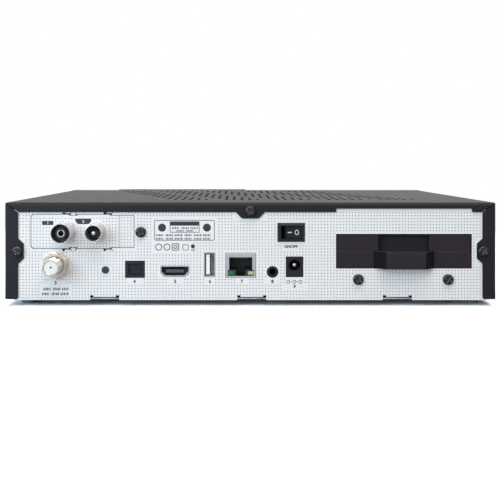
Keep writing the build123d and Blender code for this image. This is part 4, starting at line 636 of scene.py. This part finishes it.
def chamfered_nut():
    low, high = span("f_connector_nut")
    flat = (high.x - low.x) / 2
    seat, face, rim = high.y, low.y, flat + NUT_RIM
    rings = []
    for step in range(NUT_STEPS):
        reach = flat / cos((2 * pi * step / NUT_STEPS + pi / 6) % (pi / 3) - pi / 6)
        cut = max((reach - rim) * tan(radians(NUT_CHAMFER)), NUT_EDGE)
        start = min(reach - NUT_RIM_GAP, rim)
        rings.append([
            (face + NUT_MOUTH_DEPTH, NUT_BORE), (face, NUT_BORE + NUT_MOUTH_WIDEN), (face, start),
            (face + cut, reach), (seat - cut, reach), (seat, start), (seat, NUT_BORE),
        ])
    piece = turned("f_connector_hex_nut", rings, middle("f_connector_nut"), 25)
    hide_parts("f_connector_nut")


threaded_barrel()
chamfered_nut()


# ---- Printed dots and marks ----------------------------------------------------------------------
INK_LIFT = 0.03                 # how far ink stands off its face
MARK_LIFT = 0.01                # and marks off the ink below them
INK_Y = PANEL_FACE - INK_LIFT
DOT_PITCH_X = 1.712
DOT_PITCH_Z = 1.674
DOT_R = 0.33
DOT_SIDES = 8
FIRST_DOT = (-72.08, 1.35)      # a dot's place: X, and height above the panel's foot, as all heights below
COLUMNS = range(-40, 130)       # counted from that dot
ROWS = range(29)
CLEAR = 0.95                    # bare rims round the sockets, the labels and the flanges
LABEL_MARGIN = 0.9
SIDE_MARGIN = 0.8
SIDE_FLANGE = 7.2               # the cover's rear flanges hide the panel's rim
TOP_FLANGE = 5.25
TOP_TUCK = 0.6                  # a dot's middle may lie this far under the top flange
TOP_LOBE_HALF = 9.5             # dots keep clear of the flanges' screw lobes
TOP_LOBE_DROP = 4.5
SIDE_LOBE_REACH = 4.1
SIDE_LOBE_Z = 27.0
SIDE_LOBE_HALF = 7.4
NOTCH_XS = (-80.2, 0.8, 81.0)   # the panel's lower notches
NOTCH_CLEAR = 8.9
NOTCH_TOP = 3.0
JACK_X = 12.25
JACK_R = 3.05
# Dots on the tuner plate: first X, columns, pitch, lowest height, rows
TUNER_DOTS = ((-119.22, 27, 1.735, 29.36, 10), (-70.92, 4, 1.7, 30.0, 10))
COAX_CLEAR = 0.8
LABEL_CLEAR = 0.7
# Where words and signs stand: left, right, low, high
LABELS = (
    (-110.85, -103.69, 8.57, 10.49), (-114.71, -99.29, 5.26, 7.19), (-115.53, -98.74, 2.51, 4.44),
    (-67.18, -60.46, 9.28, 11.16), (-44.43, -38.37, 9.28, 11.27), (-24.49, -19.98, 9.28, 11.05),
    (-6.87, -2.35, 9.23, 11.16), (8.55, 15.82, 9.23, 11.16), (19.68, 28.93, 8.95, 11.16),
    (19.02, 30.14, 6.53, 8.4), (18.58, 26.29, 28.67, 30.32), (-52.86, -19.65, 32.8, 44.09),
    (-52.47, -32.09, 27.35, 31.2),
)
TUNER_LABELS = ((-114.71, -108.37, 41.34, 43.65), (-96.53, -87.45, 41.89, 44.81))
SOCKETS = (
    "optical_housing", "video_socket_shell", "usb_shell", "network_shell", "power_jack_housing",
    "switch_frame", "tuner_plate", "tray_front",
)


def grown(box, margin):
    left, right, low, high = box
    return (left - margin, right + margin, low - margin, high + margin)


def box_of(node):
    low, high = span(node)
    return grown((low.x, high.x, low.z - PANEL_LOW, high.z - PANEL_LOW), CLEAR)


def round_of(node, margin):
    centre = middle(node)
    return (centre.x, centre.z - PANEL_LOW, span(node)[1].x - centre.x + margin)


def bare(x, z, boxes, rounds):
    """True where a dot would touch one of the boxes or rounds."""
    return any(a < x < b and c < z < d for a, b, c, d in boxes) or any(
        (x - a) ** 2 + (z - b) ** 2 < r * r for a, b, r in rounds
    )


def panel_dots():
    boxes = [box_of(node) for node in SOCKETS] + [grown(label, LABEL_MARGIN) for label in LABELS]
    boxes += [(x - NOTCH_CLEAR, x + NOTCH_CLEAR, -1, NOTCH_TOP) for x in NOTCH_XS]
    rounds = [round_of("f_connector_washer", CLEAR), round_of("hole_plug", CLEAR)]
    rounds.append((JACK_X, middle("remote_jack").z - PANEL_LOW, JACK_R + CLEAR))
    rounds += [(screw.x, screw.z - PANEL_LOW, HEAD_R + CLEAR) for screw in REAR_SCREWS]
    inner = HALF - SIDE_FLANGE
    top = span("top_cover")[1].z - PANEL_LOW - TOP_FLANGE
    ink = Print(INK_Y, PANEL_LOW)
    for column in COLUMNS:
        x = FIRST_DOT[0] + column * DOT_PITCH_X
        for row in ROWS:
            z = FIRST_DOT[1] + row * DOT_PITCH_Z
            if abs(x) > inner - SIDE_MARGIN or z > top + TOP_TUCK:
                continue
            if abs(x) < TOP_LOBE_HALF and z > top - TOP_LOBE_DROP:
                continue
            if abs(x) > inner - SIDE_LOBE_REACH and abs(z - SIDE_LOBE_Z) < SIDE_LOBE_HALF:
                continue
            if not bare(x, z, boxes, rounds):
                ink.disc(x, z, DOT_R, DOT_SIDES, pi / DOT_SIDES)
    ink.piece("panel_dots", DOT)


def tuner_dots():
    boxes = [grown(label, LABEL_CLEAR) for label in TUNER_LABELS]
    rounds = [round_of(node, COAX_CLEAR) for node in ("antenna_in_shell", "loop_out_shell")]
    ink = Print(INK_Y, PANEL_LOW)
    for first, columns, pitch, low, rows in TUNER_DOTS:
        for column in range(columns):
            for row in range(rows):
                x, z = first + column * pitch, low + row * pitch
                if not bare(x, z, boxes, rounds):
                    ink.disc(x, z, DOT_R, DOT_SIDES, pi / DOT_SIDES)
    ink.piece("tuner_plate_dots", DOT)


# Plain figures by the sockets: text, middle X, foot, height
PORT_FIGURES = (
    ("3", -107.27, 8.5, 2.05), ("4", -63.8, 9.3, 1.95), ("5", -41.4, 9.3, 1.95), ("6", -22.2, 9.3, 1.95),
    ("7", -4.6, 9.3, 1.95), ("8", 12.2, 9.3, 1.95), ("9", 24.4, 6.5, 1.9),
)
SWITCH_WORD = ("ON/OFF", 22.4, 28.7, 1.6, 7.4)      # and its width
# Rings: middle X and Z, radius, stroke. Three show polarity by the power jack, two stand below the plate
RINGS = (
    (20.9, 10.05, 1.0, 0.3), (24.3, 10.05, 1.0, 0.3), (27.7, 10.05, 1.0, 0.3),
    (-50.4, 29.2, 1.9, 0.42), (-45.9, 29.2, 1.9, 0.42),
)
POLARITY_LINKS = ((21.85, 23.35, 9.96, 10.14), (25.25, 26.75, 9.96, 10.14))
# Frames: left, right, low, high, stroke, corner. Two make the outlined plate, three stand below it
FRAMES = (
    (-52.9, -19.6, 32.8, 44.1, 0.32, 0.9), (-44.3, -28.0, 37.2, 43.3, 0.3, 0.0),
    (-43.2, -39.2, 27.3, 31.2, 0.42, 0.7), (-42.2, -40.2, 28.3, 30.2, 0.4, 0.5),
    (-37.3, -34.0, 27.4, 30.6, 0.3, 0.5),
)
BARS = ((-44.0, -28.3, 41.0, 43.0), (-32.7, -30.5, 27.3, 27.75))
SPOT = (-31.6, 29.6, 1.15)
PLATE_SPOTS = ((-50.8, -46.4, 37.7, 42.1, 2.15, 8), (-26.1, -21.7, 37.7, 42.1, 2.15, 8))
# Lines of strokes in place of words: left, right, foot, height. The first two are below the satellite input
FINE_LINES = (
    (-113.9, -99.9, 5.4, 1.5), (-114.7, -99.5, 2.7, 1.5), (-43.2, -29.0, 39.2, 1.0),
    (-40.6, -31.4, 37.75, 0.9), (-51.9, -20.6, 35.2, 1.15), (-51.9, -20.6, 33.35, 1.0),
)
INPUT_TAG = (-114.7, -108.4, 41.3, 43.6, 0.5)
LOOP_TAG = (-96.5, -87.4, 41.8, 44.9)
# The lower corners of the loop tag: how far in and how far up
LOOP_CORNERS = ((0.3, 1.4), (1.4, 0.2), (2.4, 0.0))
TAG_FIGURES = (("1", -111.5, 41.75, 1.45), ("2", -91.95, 42.6, 1.45))


def panel_marks():
    """Plain figures by the sockets, an outlined plate of bars, and plain symbols."""
    ink = Print(INK_Y - MARK_LIFT, PANEL_LOW)
    for figure in PORT_FIGURES:
        ink.digits(*figure)
    ink.digits(*SWITCH_WORD)
    for x, z, radius, stroke in RINGS:
        ink.ring(x, z, radius, radius, stroke)
    for outline in FRAMES:
        ink.frame(*outline)
    for bar in BARS:
        ink.bar(*bar)
    for spot in PLATE_SPOTS:
        ink.polygon(rounded(*spot))
    ink.disc(*SPOT)
    ink.piece("panel_print", INK)
    fine = Print(INK_Y - MARK_LIFT, PANEL_LOW)
    for line in FINE_LINES:
        fine.dashes(*line)
    for link in POLARITY_LINKS:
        fine.bar(*link)
    fine.piece("panel_print_fine", GREY_INK)


def tuner_marks():
    """Two dark tags over the tuner's sockets, with a pale figure on each."""
    tags = Print(INK_Y, PANEL_LOW)
    tags.polygon(rounded(*INPUT_TAG))
    left, right, low, high = LOOP_TAG
    down = [(left + across, low + up) for across, up in LOOP_CORNERS]
    back = [(right - across, low + up) for across, up in reversed(LOOP_CORNERS)]
    tags.polygon([(left, high)] + down + back + [(right, high)])
    tags.piece("tuner_print", INK)
    pale = Print(INK_Y - MARK_LIFT, PANEL_LOW)
    for figure in TAG_FIGURES:
        pale.digits(*figure)
    pale.piece("tuner_print_pale", PALE_INK)


panel_dots()
tuner_dots()
panel_marks()
tuner_marks()


# ---- Rocker marks --------------------------------------------------------------------------------
DASH_X = 20.55          # the dash's left end
DASH_L = 2.25
RING_X = 25.6
RING_W = 1.15           # half the ring's width and height
RING_H = 1.45
MARK_STROKE = 0.4
DASH_HALF = 0.3         # half the dash's height
DASH_STEPS = 8          # so that it follows the hollow face
MARK_Y = -0.2           # in metres: well behind the rocker, where the rays towards its face start


def rocker_marks():
    """A dash and a ring in pale ink, laid on the hollow face of the rocker."""
    bm = bmesh.new()
    bm.from_mesh(NODES["switch_rocker"].data)
    face = BVHTree.FromBMesh(bm)
    bm.free()
    z = middle("switch_rocker").z
    dash = Print(0.0, z)
    for i in range(DASH_STEPS):
        x = DASH_X + DASH_L * i / DASH_STEPS
        dash.bar(x, x + DASH_L / DASH_STEPS, -DASH_HALF, DASH_HALF)
    ring = Print(0.0, z)
    ring.ring(RING_X, 0.0, RING_W, RING_H, MARK_STROKE)
    for name, flat in (("rocker_dash", dash), ("rocker_ring", ring)):
        verts = []
        for x, _, height in flat.verts:
            hit = face.ray_cast(Vector((x, MARK_Y, height)), Vector((0, 1, 0)))[0]
            verts.append((x, hit.y - INK_LIFT * MM, height))
        new_piece(name, verts, flat.faces, PALE_INK, "rocker")


rocker_marks()


# ---- Stage: floor, light and camera --------------------------------------------------------------
def backdrop_share(tree, kinds):
    """1 for the rays that see the pale backdrop, and 0 for those that light the object."""
    path = tree.nodes.new("ShaderNodeLightPath")
    share = path.outputs[kinds[0]]
    for kind in kinds[1:]:
        larger = tree.nodes.new("ShaderNodeMath")
        larger.operation = "MAXIMUM"
        tree.links.new(share, larger.inputs[0])
        tree.links.new(path.outputs[kind], larger.inputs[1])
        share = larger.outputs[0]
    return share


FLOOR_SEEN = 2.3        # the floor's colour to the camera, which these lamps bring to white
FLOOR_LIT = 0.5         # and its colour to the light that it throws back
FLOOR_X = 1.0           # its extent, in metres
FLOOR_NEAR = -1.2
FLOOR_FAR = 0.4
WORLD_SEEN = ((1.0, 1.0, 1.0, 1), 1.0)          # colour and strength
WORLD_LIT = ((1.0, 0.96, 0.95, 1), 0.12)


def floor():
    material = bpy.data.materials.new("stage_floor")
    material.use_nodes = True
    tree = material.node_tree
    tree.nodes.clear()
    out = tree.nodes.new("ShaderNodeOutputMaterial")
    mix = tree.nodes.new("ShaderNodeMixShader")
    for socket, value in ((mix.inputs[1], FLOOR_LIT), (mix.inputs[2], FLOOR_SEEN)):
        coat = tree.nodes.new("ShaderNodeBsdfDiffuse")
        coat.inputs["Color"].default_value = (value, value, value, 1)
        tree.links.new(coat.outputs["BSDF"], socket)
    tree.links.new(backdrop_share(tree, ("Is Camera Ray",)), mix.inputs["Fac"])
    tree.links.new(mix.outputs["Shader"], out.inputs["Surface"])
    mesh = bpy.data.meshes.new("stage_floor")
    corners = [(-FLOOR_X, FLOOR_NEAR), (FLOOR_X, FLOOR_NEAR), (FLOOR_X, FLOOR_FAR), (-FLOOR_X, FLOOR_FAR)]
    mesh.from_pydata([(x, y, 0) for x, y in corners], [], [(0, 1, 2, 3)])
    mesh.materials.append(material)
    plane = bpy.data.objects.new("stage_floor", mesh)
    bpy.context.scene.collection.objects.link(plane)


def surround():
    world = bpy.data.worlds.new("surround")
    bpy.context.scene.world = world
    world.use_nodes = True
    tree = world.node_tree
    tree.nodes.clear()
    out = tree.nodes.new("ShaderNodeOutputWorld")
    mix = tree.nodes.new("ShaderNodeMixShader")
    for socket, (colour, strength) in ((mix.inputs[1], WORLD_LIT), (mix.inputs[2], WORLD_SEEN)):
        glow = tree.nodes.new("ShaderNodeBackground")
        glow.inputs["Color"].default_value = colour
        glow.inputs["Strength"].default_value = strength
        tree.links.new(glow.outputs["Background"], socket)
    share = backdrop_share(tree, ("Is Camera Ray", "Is Glossy Ray", "Is Transmission Ray"))
    tree.links.new(share, mix.inputs["Fac"])
    tree.links.new(mix.outputs["Shader"], out.inputs["Surface"])


# Name, place, target, size in metres, power in watts, colour
LAMPS = (
    ("overhead", (0.1, -0.6, 1.25), (0.0, -0.05, 0.03), (1.4, 1.0), 13.5, (1.0, 0.965, 0.94)),
    ("left_cool", (-0.78, -1.1, 0.42), (-0.05, -0.08, 0.03), (0.8, 0.8), 12.8, (0.64, 0.84, 1.0)),
    ("front_fill", (0.0, -1.5, 0.9), (0.0, -0.08, 0.03), (0.8, 0.5), 2.5, (1.0, 0.98, 0.95)),
    ("face_soft", (-0.2, 1.3, 1.1), (0.0, 0.1, 0.03), (2.0, 0.7), 0.8, (0.95, 0.97, 1.0)),
)
EYE = (-8.25, -451.3, 76.42)    # X, Y from the cover's rear edge, Z from the panel's foot
LENS = 59.1                     # in millimetres, with a sensor 36 mm wide
SENSOR = 36
SHIFT = (0.0294, -0.1774)
CLIP_START = 0.01


def lamp(name, place, target, size, power, colour):
    light = bpy.data.lights.new(name, "AREA")
    light.shape = "RECTANGLE"
    light.size, light.size_y = size
    light.energy = power
    light.color = colour
    holder = bpy.data.objects.new(name, light)
    holder.location = place
    holder.rotation_euler = (Vector(target) - Vector(place)).to_track_quat("-Z", "Y").to_euler()
    bpy.context.scene.collection.objects.link(holder)


floor()
surround()
for row in LAMPS:
    lamp(*row)

camera = bpy.data.cameras.new("camera")
camera.sensor_fit = "HORIZONTAL"
camera.sensor_width = SENSOR
camera.lens = LENS
camera.shift_x, camera.shift_y = SHIFT
camera.clip_start = CLIP_START
eye = bpy.data.objects.new("camera", camera)
eye.location = (EYE[0] * MM, (REAR + EYE[1]) * MM, (PANEL_LOW + EYE[2]) * MM)
eye.rotation_euler = (radians(90), 0, 0)
bpy.context.scene.collection.objects.link(eye)
bpy.context.scene.camera = eye
bpy.context.scene.view_settings.view_transform = "Standard"
